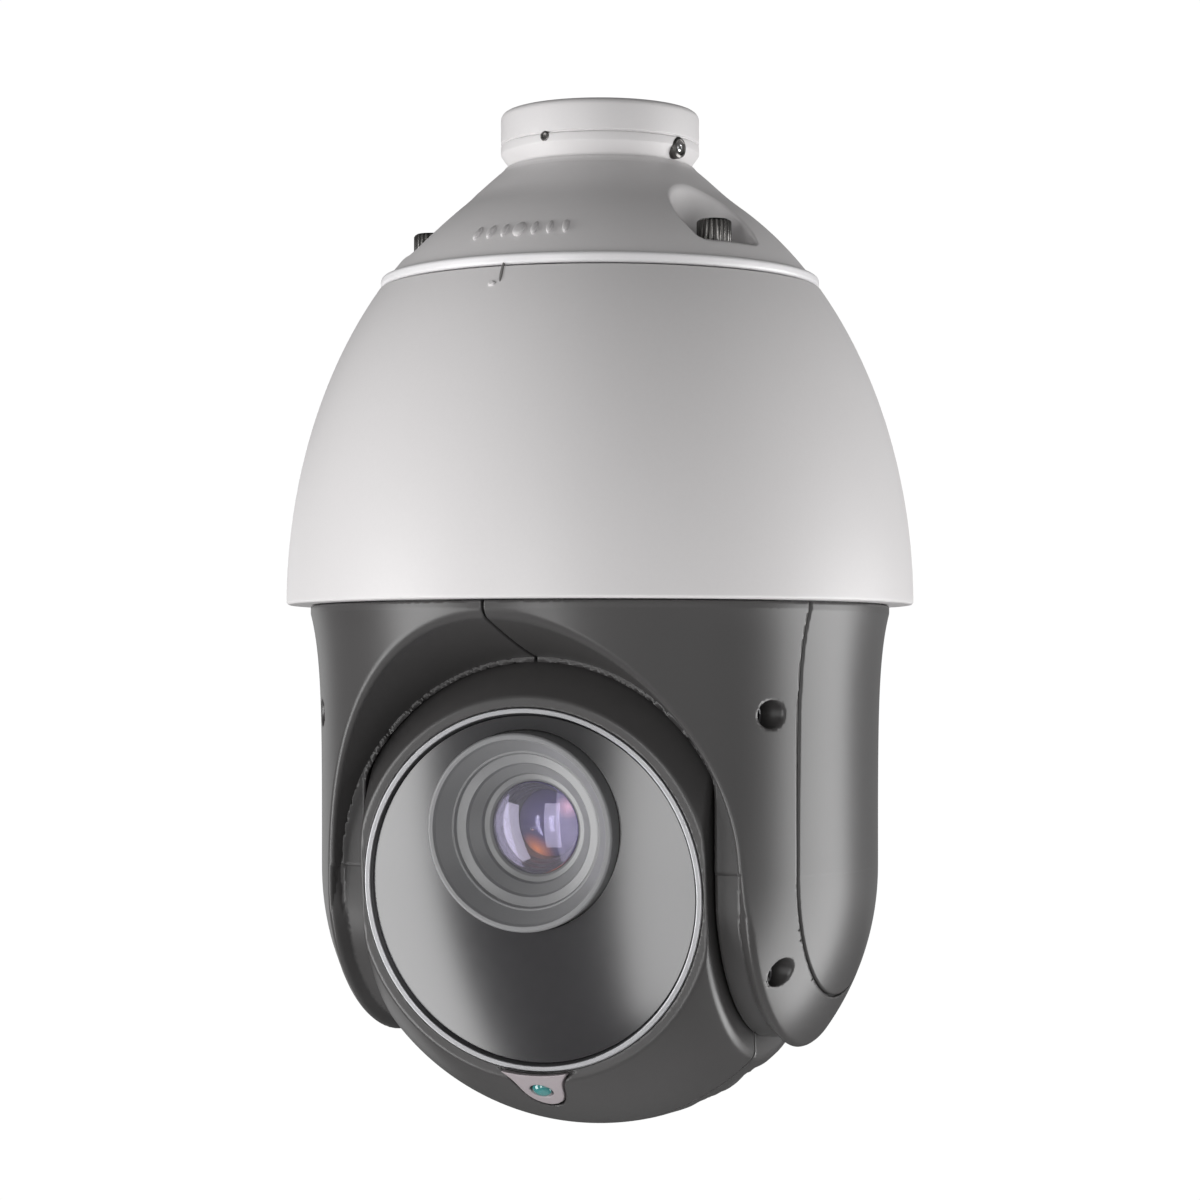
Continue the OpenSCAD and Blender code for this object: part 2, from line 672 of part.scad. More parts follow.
// Tilt bearings and belt drive
tilt_race_t = (tilt_bearing_od - tilt_bearing_bore) / 6;
tilt_ball_at = (tilt_bearing_od + tilt_bearing_bore) / 4;
tilt_ball_r = tilt_race_t * 1.18;
module at_tilt_bearings() {
  both_sides() at_tilt_axis() translate([bearing_x, 0, 0]) rotate([0, 90, 0]) children();
}
module tilt_bearing_outers() {
  color("#b8bcc0") at_tilt_bearings()
    race(tilt_bearing_od / 2, tilt_bearing_od / 2 - tilt_race_t, tilt_ball_at, tilt_ball_r, tilt_bearing_w);
}
module tilt_bearing_balls() {
  color("#e0e2e4") at_tilt_bearings() for (a = [0 : 45 : 315])
    rotate([0, 0, a]) translate([tilt_ball_at, 0, tilt_bearing_w / 2]) sphere(r = tilt_ball_r);
}
module tilt_bearing_inners() {
  color("#b8bcc0") at_tilt_bearings() race(tilt_bearing_bore / 2 + tilt_race_t, tilt_bearing_bore / 2,
    tilt_ball_at, tilt_ball_r + ball_gap_to_race, tilt_bearing_w);
}
module at_tilt_motor() { at_tilt_axis() translate([0, 0, tilt_motor_up]) mirror([1, 0, 0]) children(); }
module tilt_motor() {
  color("#4a4d52") at_tilt_motor() {
    rod_x(tilt_motor_d / 2, bearing_x, tilt_pulley_x - 1);
    rod_x(shaft_r, tilt_pulley_x - 1, tilt_pulley_x + tilt_pulley_w);
  }
}
// Pulleys and the belt lie in one plane inside the left arm
module in_tilt_belt_plane() {
  at_tilt_axis() mirror([1, 0, 0]) translate([tilt_pulley_x, 0, 0]) rotate([90, 0, 90]) children();
}
module tilt_pinion() {
  color("#d0b060") in_tilt_belt_plane() translate([0, tilt_motor_up, 0]) difference() {
    toothed(tilt_pinion_r, tilt_pinion_teeth, tilt_pulley_w);
    translate([0, 0, -cut]) cylinder(r = shaft_r + shaft_gap, h = tilt_pulley_w + 2 * cut);
  }
}
module tilt_pulley() {
  color("#2c2e32") in_tilt_belt_plane() difference() {
    toothed(tilt_pulley_r, tilt_pulley_teeth, tilt_pulley_w);
    translate([0, 0, -cut]) cylinder(r = tilt_bearing_bore / 2, h = tilt_pulley_w + 2 * cut);
  }
}
module tilt_belt() {
  color("#121214") in_tilt_belt_plane() translate([0, 0, 1])
    belt_loop(tilt_pulley_r, tilt_pinion_r, tilt_motor_up, tilt_pulley_w - 2);
}
driver_board_l = 34;
driver_board_up = 22;
module driver_board() {
  color("#1f5a3c") at_tilt_axis() translate([bearing_x, -driver_board_l / 2, driver_board_up]) {
    cube([board_t, driver_board_l, driver_board_l]);
    translate([board_t, 6, 5]) cube([2, 10, 10]);
    translate([board_t, 20, 18]) cube([4, 8, 12]);
  }
}

// Head: a ball with flat sides, in its own frame with the lens along -Y
face_y = sqrt(pow(ball_r, 2) - pow(face_r, 2));
seat_y = face_y - window_t;
front_wall_y = seat_y - 2;
window_r = window_d / 2;
rim_r = window_r + rim_w;
window_hole_r = window_r - 1.5;
split_y = 15;
gasket_t = 0.8;
rear_inner_r = ball_r - pocket_deep - ball_wall;
post_at = (rim_r - 1.2) / sqrt(2);
hood_r = hood_d / 2;
lens_up = window_r - hood_r - hood_edge;
hood_front = face_y + hood_proud;
tab_t = 1.8;
tab_half_w = 11.5;
tab_top = -40;
tab_round_at = -52.6;
tab_round_r = 5.8;
pocket_count = 9;
pocket_angles = [[-6, 62], [70, 138]];
shaft_flange_r = tilt_bearing_bore / 2 + 6;

module ball_solid(r, half_flats) {
  intersection() {
    sphere(r = r, $fn = 96);
    cube([2 * half_flats, 3 * ball_r, 3 * ball_r], center = true);
  }
}
// Keeps what lies between two distances in front of the tilt axis
module slice_y(front, back) {
  intersection() {
    children();
    translate([-ball_r, -front, -ball_r]) cube([2 * ball_r, front - back, 2 * ball_r]);
  }
}
module ball_posts(r, front, back) {
  for (x = [-1, 1], z = [-1, 1]) translate([x * post_at, 0, z * post_at]) rod_y(r, front, back);
}
module shaft_holes() { both_sides() rod_x(tilt_bearing_bore / 2, flat_x - ball_wall - cut, flat_x + cut); }
// The light sensor tab's outline, run out in front of the ball
module tab_prism(grow) {
  translate([0, -split_y, 0]) rotate([90, 0, 0]) difference() {
    linear_extrude(height = ball_r) polygon(concat(
      [[-tab_half_w - grow, tab_top], [tab_half_w + grow, tab_top],
       [tab_half_w - 0.5 + grow, tab_round_at + 4.1]],
      [for (a = [-20 : -20 : -160])
        [(tab_round_r + grow) * cos(a), tab_round_at + (tab_round_r + grow) * sin(a)]],
      [[-tab_half_w + 0.5 - grow, tab_round_at + 4.1]]));
    translate([0, 0, -cut]) cylinder(r = rim_r + 0.3, h = ball_r + 2 * cut);
  }
}
module tab_floor() { slice_y(face_y - tab_t, -ball_r) sphere(r = ball_r - tab_t, $fn = 96); }
module sensor_place() { rotate([46.5, 0, 0]) children(); }
module ball_front() {
  color("#46464a") in_head() difference() {
    union() {
      difference() {
        slice_y(face_y, split_y + gasket_t) ball_solid(ball_r, flat_x);
        slice_y(front_wall_y, 0) ball_solid(ball_r - ball_wall, flat_x - ball_wall);
      }
      ball_posts(post_r, front_wall_y + 0.01, split_y + gasket_t);
    }
    rod_y(rim_r, face_y + cut, seat_y);
    rod_y(window_hole_r, seat_y + cut, front_wall_y - cut);
    ball_posts(1.6, seat_y + cut, split_y);
    difference() {
      tab_prism(0.6);
      tab_floor();
    }
  }
}
module pocket_run(x) {
  floor_r = sqrt(pow(ball_r - pocket_deep, 2) - pow(x, 2));
  for (run = pocket_angles) rotate([0, 90, 0]) rotate([0, 0, run[0]])
    rotate_extrude(angle = run[1] - run[0], $fn = 96)
      translate([floor_r, x - pocket_w / 2]) square([ball_r + 2 - floor_r, pocket_w]);
}
module ball_rear() {
  color("#414145") in_head() difference() {
    union() {
      difference() {
        slice_y(split_y, -ball_r) ball_solid(ball_r, flat_x);
        slice_y(split_y + cut, -ball_r) ball_solid(rear_inner_r, flat_x - ball_wall);
      }
      intersection() {
        ball_posts(post_r, split_y, -ball_r);
        sphere(r = rear_inner_r + 1, $fn = 96);
      }
    }
    ball_posts(1.6, split_y + cut, -10);
    shaft_holes();
    for (i = [0 : pocket_count - 1]) pocket_run((i - (pocket_count - 1) / 2) * pocket_pitch);
  }
}
module ball_seal() {
  color("#101012") in_head() slice_y(split_y + gasket_t, split_y) difference() {
    ball_solid(ball_r - 0.8, flat_x - 0.8);
    ball_solid(ball_r - ball_wall, flat_x - ball_wall + 0.4);
  }
}
module ball_screws() {
  color("#8a8c90") in_head() {
    ball_posts(1.5, seat_y - 1.2, -9);
  }
}
module tilt_shafts() {
  color("#a8acb0") at_tilt_axis() {
    both_sides() difference() {
      union() {
        rod_x(shaft_flange_r, flat_x - ball_wall - 3, flat_x - ball_wall);
        rod_x(tilt_bearing_bore / 2, flat_x - ball_wall, bearing_end_x + 1);
      }
      rod_x(tilt_bearing_bore / 2 - 2.5, flat_x - ball_wall - 4, bearing_end_x + 2);
    }
    mirror([1, 0, 0]) difference() {
      rod_x(tilt_bearing_bore / 2, bearing_end_x + 1, tilt_pulley_x + tilt_pulley_w);
      rod_x(tilt_bearing_bore / 2 - 2.5, bearing_end_x, tilt_pulley_x + tilt_pulley_w + 1);
    }
  }
}

// Window, lens and lights
rim_proud = 0.5;
glass_back = 0.2;
lens_tube_r = 12.3;
barrel_r = 19;
barrel_bore = 16.7;
barrel_front = hood_front - 15;
bracket_y = barrel_front - 9;
led_places = [[33, 0], [27, -22], [9.5, -25]];
led_r = 6.5;
board_front = front_wall_y - 1;
element_at = hood_front - 21;
element_r = 7.8;
zoom_at = barrel_front - 13.5;
zoom_l = 10;
focus_at = zoom_at - zoom_l - zoom_travel - 3;
focus_l = 7;
barrel_back = focus_at - focus_l - focus_travel - 4.5;

module window_rim() { color("#9c9ca0") in_head() tube_y(rim_r, window_r, face_y + rim_proud, seat_y); }
module front_window() {
  color("#202226") in_head() difference() {
    rod_y(window_r, face_y - glass_back, seat_y);
    translate([0, 0, lens_up]) rod_y(hood_r, face_y + cut, seat_y - cut);
  }
}
module on_lens_axis() { in_head() translate([0, 0, lens_up]) rotate([90, 0, 0]) children(); }
module lens_hood() {
  color("#2a2a2d") on_lens_axis() translate([0, 0, hood_front]) rotate_extrude() polygon([
    [hood_r, -15], [hood_r, -0.8], [hood_r - 0.8, 0], [hood_r - 1.7, 0], [20.4, -5], [19.6, -5.2],
    [19.2, -5.8], [12.9, -11], [lens_tube_r, -11], [lens_tube_r, -15]]);
}
module lens_ring() {
  color("#1a1a1c") on_lens_axis() translate([0, 0, hood_front]) rotate_extrude() polygon([
    [lens_tube_r, -23], [lens_tube_r, -11.4], [lens_tube_r - 0.9, -11.4], [element_r + 0.6, -20],
    [element_r, -20], [element_r, -23]]);
}
// A lens with one round front face and a flat back
module round_lens(r, bulge, t) {
  curve = (pow(r, 2) + pow(bulge, 2)) / (2 * bulge);
  intersection() {
    translate([0, 0, bulge - curve]) sphere(r = curve);
    translate([0, 0, -t]) cylinder(r = r, h = t + bulge + 1);
  }
}
module front_element() {
  color("#3a2f6a") on_lens_axis() translate([0, 0, element_at - 1]) round_lens(element_r, 2, 2);
}
module lens_barrel() {
  color("#232326") on_lens_axis() difference() {
    union() {
      translate([0, 0, barrel_back]) cylinder(r = barrel_r, h = barrel_front - barrel_back);
      translate([-20, -20, barrel_back]) cube([40, 40, 2]);
    }
    translate([0, 0, barrel_back - cut]) cylinder(r = barrel_bore, h = barrel_front - barrel_back - 3 + cut);
    translate([0, 0, barrel_front - 4]) cylinder(r = lens_tube_r, h = 4 + cut);
  }
}
module lens_bracket() {
  color("#8c9094") in_head() difference() {
    rod_y(rim_r - 2, bracket_y, bracket_y - 2);
    translate([0, 0, lens_up]) rod_y(barrel_r, bracket_y + cut, bracket_y - 3);
    ball_posts(post_r, bracket_y + cut, bracket_y - 3);
  }
}
module lens_motors() {
  color("#b0b4b8") both_sides() on_lens_axis() translate([barrel_r + 6, 0, 0]) {
    translate([0, 0, bracket_y - 18]) cylinder(r = 5, h = 16);
    translate([0, 0, bracket_y - 34]) cylinder(r = 1, h = 16);
  }
}
module image_sensor() {
  color("#1f5a3c") on_lens_axis() {
    translate([-20, -20, barrel_back - 6]) cube([40, 40, board_t]);
    translate([-6, -5, barrel_back - 6 + board_t]) cube([12, 10, 1]);
    for (x = [-1, 1], y = [-1, 1]) translate([17 * x, 17 * y, barrel_back - 6 + board_t])
      cylinder(r = 2, h = 6 - board_t);
  }
}
module infrared_board() {
  color("#14301f") in_head() difference() {
    rod_y(window_hole_r - 1.5, board_front, board_front - board_t);
    translate([0, 0, lens_up]) rod_y(hood_r + 0.5, board_front + cut, board_front - 3);
    ball_posts(post_r + 0.4, board_front + cut, board_front - 3);
  }
}
module infrared_leds() {
  color("#c8ccd0") in_head() both_sides() for (p = led_places) translate([p[0], -board_front, p[1]])
    rotate([90, 0, 0]) difference() {
      cylinder(r1 = led_r * 0.6, r2 = led_r, h = 2.4);
      translate([0, 0, 0.8]) cylinder(r1 = led_r * 0.35, r2 = led_r * 0.85, h = 2);
    }
}
module sensor_tab() {
  color("#a8a2a6") in_head() difference() {
    intersection() {
      tab_prism(0);
      slice_y(face_y, split_y) sphere(r = ball_r, $fn = 96);
    }
    tab_floor();
    sensor_place() rod_y(sensor_d / 2 + 0.2, ball_r + 1, ball_r - 4);
  }
}
module light_sensor() {
  color("#3c8284") in_head() sensor_place() intersection() {
    translate([0, -ball_r + sensor_d / 2, 0]) sphere(r = sensor_d / 2 + 0.1);
    rod_y(sensor_d / 2, ball_r + 1, ball_r - tab_t + 0.2);
  }
}
module lens_cell(r, l, lens_r) {
  difference() {
    translate([0, 0, -l]) cylinder(r = r, h = l);
    translate([0, 0, -1.5]) cylinder(r = lens_r, h = 2);
    translate([0, 0, -l - cut]) cylinder(r = lens_r, h = 1.5 + cut);
  }
}
module zoom_group() {
  color("#303236") on_lens_axis() translate([0, 0, zoom_at]) lens_cell(barrel_bore - run_gap, zoom_l, 12);
}
module focus_group() {
  color("#34363a") on_lens_axis() translate([0, 0, focus_at]) lens_cell(barrel_bore - run_gap, focus_l, 10);
}
module infrared_filter() {
  color("#702828") on_lens_axis() translate([-6 - filter_travel, -6, barrel_back - 2.4])
    cube([12 + filter_travel, 12, 1]);
}

mount_cap();
collar_lock_screw();
collar_set_screw();
cable_grommet();
cap_screws();
cap_gasket();
trim_ring();
upper_shell();
pan_seal();
chassis_plate();
chassis_screws();
board_standoffs();
power_board();
power_board_parts();
pan_carrier();
pan_bearing_outer();
slip_ring_stator();
pan_motor();
pan_belt();
pan_pinion();
turntable();
pan_bearing_inner();
pan_bearing_balls();
pan_pulley();
slip_ring_rotor();
turntable_screws();
yoke_left();
yoke_right();
side_cover_left();
side_cover_right();
arm_screws();
tilt_bearing_outers();
tilt_bearing_balls();
tilt_motor();
tilt_belt();
tilt_pinion();
driver_board();
ball_front();
ball_rear();
ball_seal();
ball_screws();
tilt_shafts();
tilt_bearing_inners();
tilt_pulley();
window_rim();
front_window();
lens_hood();
lens_ring();
front_element();
lens_barrel();
lens_bracket();
lens_motors();
image_sensor();
infrared_board();
infrared_leds();
sensor_tab();
light_sensor();
zoom_group();
focus_group();
infrared_filter();
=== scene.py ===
"""Speed-dome camera on a pipe-thread collar: the finished look of each piece, built round its CAD frame."""
import json
import math

import bpy
import numpy as np
from mathutils import Matrix, Vector


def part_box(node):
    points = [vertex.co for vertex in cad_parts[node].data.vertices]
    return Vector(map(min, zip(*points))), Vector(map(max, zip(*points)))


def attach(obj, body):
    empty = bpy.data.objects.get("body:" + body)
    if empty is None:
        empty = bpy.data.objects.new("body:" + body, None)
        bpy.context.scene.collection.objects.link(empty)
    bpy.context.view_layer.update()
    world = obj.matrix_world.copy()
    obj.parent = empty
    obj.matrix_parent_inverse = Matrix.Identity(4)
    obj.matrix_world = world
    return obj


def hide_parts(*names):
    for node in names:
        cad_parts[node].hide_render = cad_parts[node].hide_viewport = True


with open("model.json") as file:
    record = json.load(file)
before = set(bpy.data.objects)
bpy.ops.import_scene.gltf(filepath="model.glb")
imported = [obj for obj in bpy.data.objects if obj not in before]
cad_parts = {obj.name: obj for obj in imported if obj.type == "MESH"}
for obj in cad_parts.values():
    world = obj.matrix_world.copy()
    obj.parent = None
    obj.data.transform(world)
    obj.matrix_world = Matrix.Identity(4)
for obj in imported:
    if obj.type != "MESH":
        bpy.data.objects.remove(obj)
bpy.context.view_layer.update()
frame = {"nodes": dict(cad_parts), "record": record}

bl_info = {
    "name": "Speed Dome Camera",
    "version": (1, 0, 0),
    "blender": (4, 5, 0),
    "location": "View3D > Sidebar > Dome Camera",
    "description": "Builds the housing, yoke, head and studio of a speed-dome camera round its CAD frame",
    "category": "Object",
}

# Sizes below are in millimetres in the frame of the CAD model, unless a name says otherwise.
MM = 0.001
COARSE = 1.0
EDGE_PULL = 0.06
SHARP_ANGLE = math.radians(32)


def cad_corners(node):
    """Lowest and highest corner of a CAD node, in millimetres."""
    low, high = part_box(node)
    return np.array(low) / MM, np.array(high) / MM


TILT_Z = float(np.mean([c[2] for c in cad_corners("tilt_bearing_outers")]))
BRIM_R = float(cad_corners("upper_shell")[1][0])
BRIM_Z, SHELL_TOP_Z = (float(c[2]) for c in cad_corners("upper_shell"))
CAP_END_Z = float(cad_corners("trim_ring")[1][2])
REST_TILT = math.radians(5)
HEAD = Matrix.Translation((0, 0, TILT_Z)) @ Matrix.Rotation(REST_TILT, 4, "X")
CROWN_H = 122.4
BORE_R = 22.42
BORE_END_Z = -14
THREAD_PITCH = 2.309
THREAD_DEPTH = 1.35
CAP_TOP_Z = -15.4
CAP_SINK = 0.9
SHELL_WALL = 2.5
YOKE_R = 76.2
YOKE_NECK_R = 77.0
YOKE_DECK_Z = -128.0
FLARE_TOP_Z = -136.3
FLARE_FROM_Z = -138.4
FLARE_OUT, FLARE_FADE = 3.2, 12.5
CREASE_X = 59.0
CREASE_Y = math.sqrt(YOKE_R ** 2 - CREASE_X ** 2)
MOUTH_Y = CREASE_Y - 3.2
BALL_R = 70.4
FLAT_X = 49.0
GAP = 0.7
FACE_R = 50.7
FACE_Y = math.sqrt(BALL_R ** 2 - FACE_R ** 2)
SEAT_Y = FACE_Y - 3
SPLIT_Y = 15.0
WINDOW_R = 45.5
RIM_R = 47.9
LENS_UP = 15.8
HOOD_R = 26.0
HOOD_FRONT = FACE_Y + 6.5
LENS_AXIS = HEAD @ Matrix.Translation((0, 0, LENS_UP)) @ Matrix.Rotation(math.pi / 2, 4, "X")
FACE_AXIS = HEAD @ Matrix.Rotation(math.pi / 2, 4, "X")
CAP_SCREW_AT = 47.0
CAP_SCREW_ANGLES = (62, 182, 302)
SCREW_POCKET_R = 11.5
POCKET_FLOOR_Z = -41.0
RIBS = 7
RIB_PITCH_DEG = 4.6
ARM_HOLES = ((41.6, 41.7), (33.4, -24.7))
ARM_HOLE_R = 3.6
ARM_HOLE_FLOOR = CREASE_X - 1
ARCH_R = 56.6
COVER_DEPTH = 1.5
COOLING_PITCH = 10.2
COOLING_R = 3.8
COOLING_DEPTH = 5
COOLING_SPANS = ((-6, 62), (70, 138))
SENSOR_TILT = math.radians(49.6)
CAMERA_LENS, CAMERA_SENSOR = 93.6, 36
CAMERA_PITCH = math.radians(90 + 1.47)
FLOOR_Z, FLOOR_R = -1600.0, 9000
WHITE = 1.02
LIGHTS_AIM_Z = -0.16


def dome_r(z):
    """Radius of the housing's ellipse at a height."""
    return BRIM_R * np.sqrt(np.maximum(1 - ((z - BRIM_Z) / CROWN_H) ** 2, 1e-4))


# ---- settings

def colour(name, description, *default):
    """A colour setting."""
    return bpy.props.FloatVectorProperty(
        name=name, description=description, subtype="COLOR", size=3, min=0, max=1, default=default)


def length(name, description, default, low, high):
    """A length setting, in metres."""
    return bpy.props.FloatProperty(
        name=name, description=description, unit="LENGTH", default=default, min=low, max=high)


class HousingSettings(bpy.types.PropertyGroup):
    """Sizes and colours of the collar, cap and upper shell"""
    paint: colour("Housing Paint", "Powder coat on the collar, cap and shell", 0.70, 0.683, 0.685)
    trim: colour("Trim Ring", "Bright ring between cap and shell", 0.80, 0.79, 0.80)
    brim_round: length("Brim Rounding", "Radius on the brim's lower edge", 0.0009, 0.0002, 0.0012)
    pocket_round: length("Pocket Rounding", "Radius where a screw pocket cuts the cap", 0.0009, 0.0003, 0.002)
    rib_proud: length("Rib Height", "How far the small grip ribs stand out of the cap", 0.0009, 0.0003, 0.0015)


class YokeSettings(bpy.types.PropertyGroup):
    """Sizes and colours of the yoke"""
    plastic: colour("Yoke Plastic", "Moulded charcoal of the yoke", 0.052, 0.050, 0.050)
    crease_round: length("Crease Rounding", "Radius on the creases round the bell mouth and arms",
                         0.0019, 0.0005, 0.003)
    seam: length("Seam Width", "Gap round each side cover", 0.0006, 0.0003, 0.0012)
    cover_half_width: length("Cover Half Width", "Half the width of each side cover", 0.0338, 0.030, 0.036)


class HeadSettings(bpy.types.PropertyGroup):
    """Sizes and colours of the camera head"""
    plastic: colour("Ball Plastic", "Moulded charcoal of the ball", 0.050, 0.048, 0.048)
    window: colour("Front Window", "Infrared-passing window, dark to the eye", 0.030, 0.029, 0.031)
    # The hood's grey is partly its black anodise and partly painted sheen, lightened to stand in for the
    # reflections on its bevels.
    hood: colour("Lens Hood", "Black anodised hood and lens rings", 0.20, 0.20, 0.205)
    coating: colour("Lens Coating", "Tint of the anti-reflection coating", 0.16, 0.13, 0.34)
    tab: colour("Sensor Tab", "Grey tab that holds the light sensor", 0.36, 0.32, 0.335)
    sensor: colour("Light Sensor", "Tinted dome of the light sensor", 0.03, 0.21, 0.21)
    window_crown: length("Window Crown", "How far the window's middle stands in front of its edge",
                         0.0040, 0.0, 0.006)
    pocket_round: length("Cooling Pocket Rounding", "Radius on the cooling pockets' edges", 0.0010, 0.0004, 0.0015)


class StudioSettings(bpy.types.PropertyGroup):
    """Camera, lights and floor"""
    distance: length("Camera Distance", "Distance from the pan axis to the camera", 0.860, 0.3, 5)
    azimuth: bpy.props.FloatProperty(
        name="Camera Azimuth", description="Camera's place round the pan axis, from the front",
        subtype="ANGLE", default=math.radians(22))
    height: length("Camera Height", "Height of the camera in the frame", -0.1565, -5, 5)
    floor: colour("Floor", "Pale studio floor", 0.86, 0.86, 0.86)
    key: bpy.props.FloatProperty(
        name="Key Light", description="Radiance of the large softboxes", default=5.0, min=0, max=50)


def scene_settings(which):
    """The settings of the housing, yoke, head or studio."""
    return getattr(bpy.context.scene, "dome_" + which)


# ---- shapes as signed distances

def meet(a, b, r):
    """Where both solids are, with a round of radius r along the edge."""
    return np.minimum(np.maximum(a, b), -r) + np.hypot(np.maximum(a + r, 0), np.maximum(b + r, 0))


def join(a, b, r):
    """Where either solid is, with a fillet of radius r."""
    return -meet(-a, -b, r)


def carve(a, b, r):
    """The first solid with the second cut out of it."""
    return meet(a, -b, r)


def as_array(matrix):
    """A matrix's turn and its shift, as arrays."""
    return np.array(matrix)[:3, :3], np.array(matrix)[:3, 3]


def slope_of(field, p, step=0.02):
    """Gradient of a field at each point."""
    g = np.empty_like(p)
    for i in range(3):
        a, b = p.copy(), p.copy()
        a[:, i] += step
        b[:, i] -= step
        g[:, i] = (field(*a.T) - field(*b.T)) / (2 * step)
    return g


def grid_edges(f, axis):
    """Grid edges along an axis that cross the surface: start, share of the edge before it, and which way."""
    f0, f1 = (f.take(range(k, f.shape[axis] - 1 + k), axis) for k in (0, 1))
    cross = (f0 < 0) != (f1 < 0)
    return np.argwhere(cross), f0[cross] / (f0[cross] - f1[cross]), f0[cross] < 0


def skin(field, low, high, step):
    """Points, quads and outward normals of the surface where the field is zero; the field is negative inside."""
    step *= COARSE
    low = np.array(low, float)
    count = np.ceil((np.array(high) - low) / step).astype(int) + 1
    xs, ys, zs = (low[i] + step * np.arange(count[i]) for i in range(3))
    y, z = np.meshgrid(ys, zs, indexing="ij")
    f = np.stack([field(np.full_like(y, x), y, z) for x in xs])
    cells = count - 1
    quads, owners, crossings, facings = [], [], [], []
    for axis in range(3):
        start, share, outward = grid_edges(f, axis)
        point = start.astype(float)
        point[:, axis] += share
        facing = slope_of(field, low + step * point)
        facing /= np.maximum(np.linalg.norm(facing, axis=1, keepdims=True), 1e-9)
        b, c = (axis + 1) % 3, (axis + 2) % 3
        corner = []
        inside = np.ones(len(start), bool)
        for db, dc in ((1, 1), (0, 1), (0, 0), (1, 0)):
            cell = start.copy()
            cell[:, b] -= db
            cell[:, c] -= dc
            inside &= ((cell >= 0) & (cell < cells)).all(1)
            corner.append(cell)
        flat = [np.ravel_multi_index(k[inside].T, cells) for k in corner]
        owners += flat
        crossings += [point[inside]] * 4
        facings += [facing[inside]] * 4
        quad = np.stack(flat, 1)
        turn = ~outward[inside]
        quad[turn] = quad[turn][:, ::-1]
        quads.append(quad)
    used, owner = np.unique(np.concatenate(owners), return_inverse=True)
    crossing, facing = np.concatenate(crossings), np.concatenate(facings)
    gather = lambda values: np.bincount(owner, values, len(used))
    hits = gather(None)
    centre = np.stack([gather(crossing[:, i]) / hits for i in range(3)], 1)
    offset = (facing * (crossing - centre[owner])).sum(1)
    matrix = np.stack([np.stack([gather(facing[:, i] * facing[:, j]) for i in range(3)], 1)
                       for j in range(3)], 1)
    matrix += EDGE_PULL * hits[:, None, None] * np.eye(3)
    pull = np.stack([gather(facing[:, i] * offset) for i in range(3)], 1)
    middle = np.stack(np.unravel_index(used, cells), 1) + 0.5
    spot = centre + np.linalg.solve(matrix, pull[:, :, None])[:, :, 0]
    spot = np.clip(spot, middle - 0.6, middle + 0.6)
    p = low + step * spot
    number = np.full(cells.prod(), -1)
    number[used] = np.arange(len(used))
    for _ in range(2):
        g = slope_of(field, p)
        move = field(*p.T)[:, None] * g / np.maximum((g * g).sum(1), 0.2)[:, None]
        size = np.linalg.norm(move, axis=1, keepdims=True)
        p -= move * np.minimum(1, 0.4 * step / np.maximum(size, 1e-9))
    g = slope_of(field, p, 0.06)
    return p, number[np.concatenate(quads)], g / np.linalg.norm(g, axis=1, keepdims=True)


# ---- shapes as outlines

def rounded(outline, closed=True):
    """Points and normals of an outline of (radius, height[, corner radius]) items, solid on its left."""
    count = len(outline)
    p = [np.array(item[:2], float) for item in outline]
    r = [item[2] if len(item) > 2 else 0 for item in outline]
    points, normals = [], []
    for i in range(count):
        last, after = p[i - 1], p[(i + 1) % count]
        if not closed and i in (0, count - 1):
            last = p[i] - (p[1] - p[0]) if i == 0 else last
            after = p[i] + (p[-1] - p[-2]) if i else after
        a, b = p[i] - last, after - p[i]
        la, lb = np.linalg.norm(a), np.linalg.norm(b)
        a, b = a / la, b / lb
        na, nb = np.array((a[1], -a[0])), np.array((b[1], -b[0]))
        turn = math.atan2(a[0] * b[1] - a[1] * b[0], a @ b)
        if r[i] == 0 or abs(turn) < 0.02:
            n = na + nb
            points.append(p[i])
            normals.append(n / np.linalg.norm(n))
            continue
        reach = min(r[i] * abs(math.tan(turn / 2)), 0.49 * la, 0.49 * lb)
        radius = reach / abs(math.tan(turn / 2))
        centre = p[i] - a * reach - math.copysign(radius, turn) * na
        steps = max(2, int(abs(turn) / 0.26) + 1)
        for k in range(steps + 1):
            t = turn * k / steps
            co, si = math.cos(t), math.sin(t)
            n = np.array((na[0] * co - na[1] * si, na[0] * si + na[1] * co))
            points.append(centre + math.copysign(radius, turn) * n)
            normals.append(n)
    return np.array(points), np.array(normals)


def turned(outline, around=192, place=Matrix(), closed=True):
    """Points, quads and normals of an outline turned about the local Z axis."""
    around = int(around / COARSE)
    points, normals = rounded(outline, closed)
    angle = 2 * np.pi * np.arange(around) / around
    co, si = np.cos(angle)[:, None], np.sin(angle)[:, None]
    spread = lambda v: np.stack([v[:, 0] * co, v[:, 0] * si, v[:, 1] + 0 * co], -1).reshape(-1, 3)
    size = len(points)
    i, j = np.meshgrid(np.arange(around), np.arange(size if closed else size - 1), indexing="ij")
    i2, j2 = (i + 1) % around, (j + 1) % size
    quads = np.stack([i * size + j, i2 * size + j, i2 * size + j2, i * size + j2], -1).reshape(-1, 4)
    turn, shift = as_array(place)
    return spread(points) @ turn.T + shift, quads, spread(normals) @ turn.T


def band_quads(rings, around, first=0):
    """Quads between rings of points that follow one another, from the first ring's first point."""
    row, i = np.meshgrid(np.arange(rings - 1) * around + first, np.arange(around), indexing="ij")
    j = (i + 1) % around
    return np.stack([row + i, row + around + i, row + around + j, row + j], -1).reshape(-1, 4)


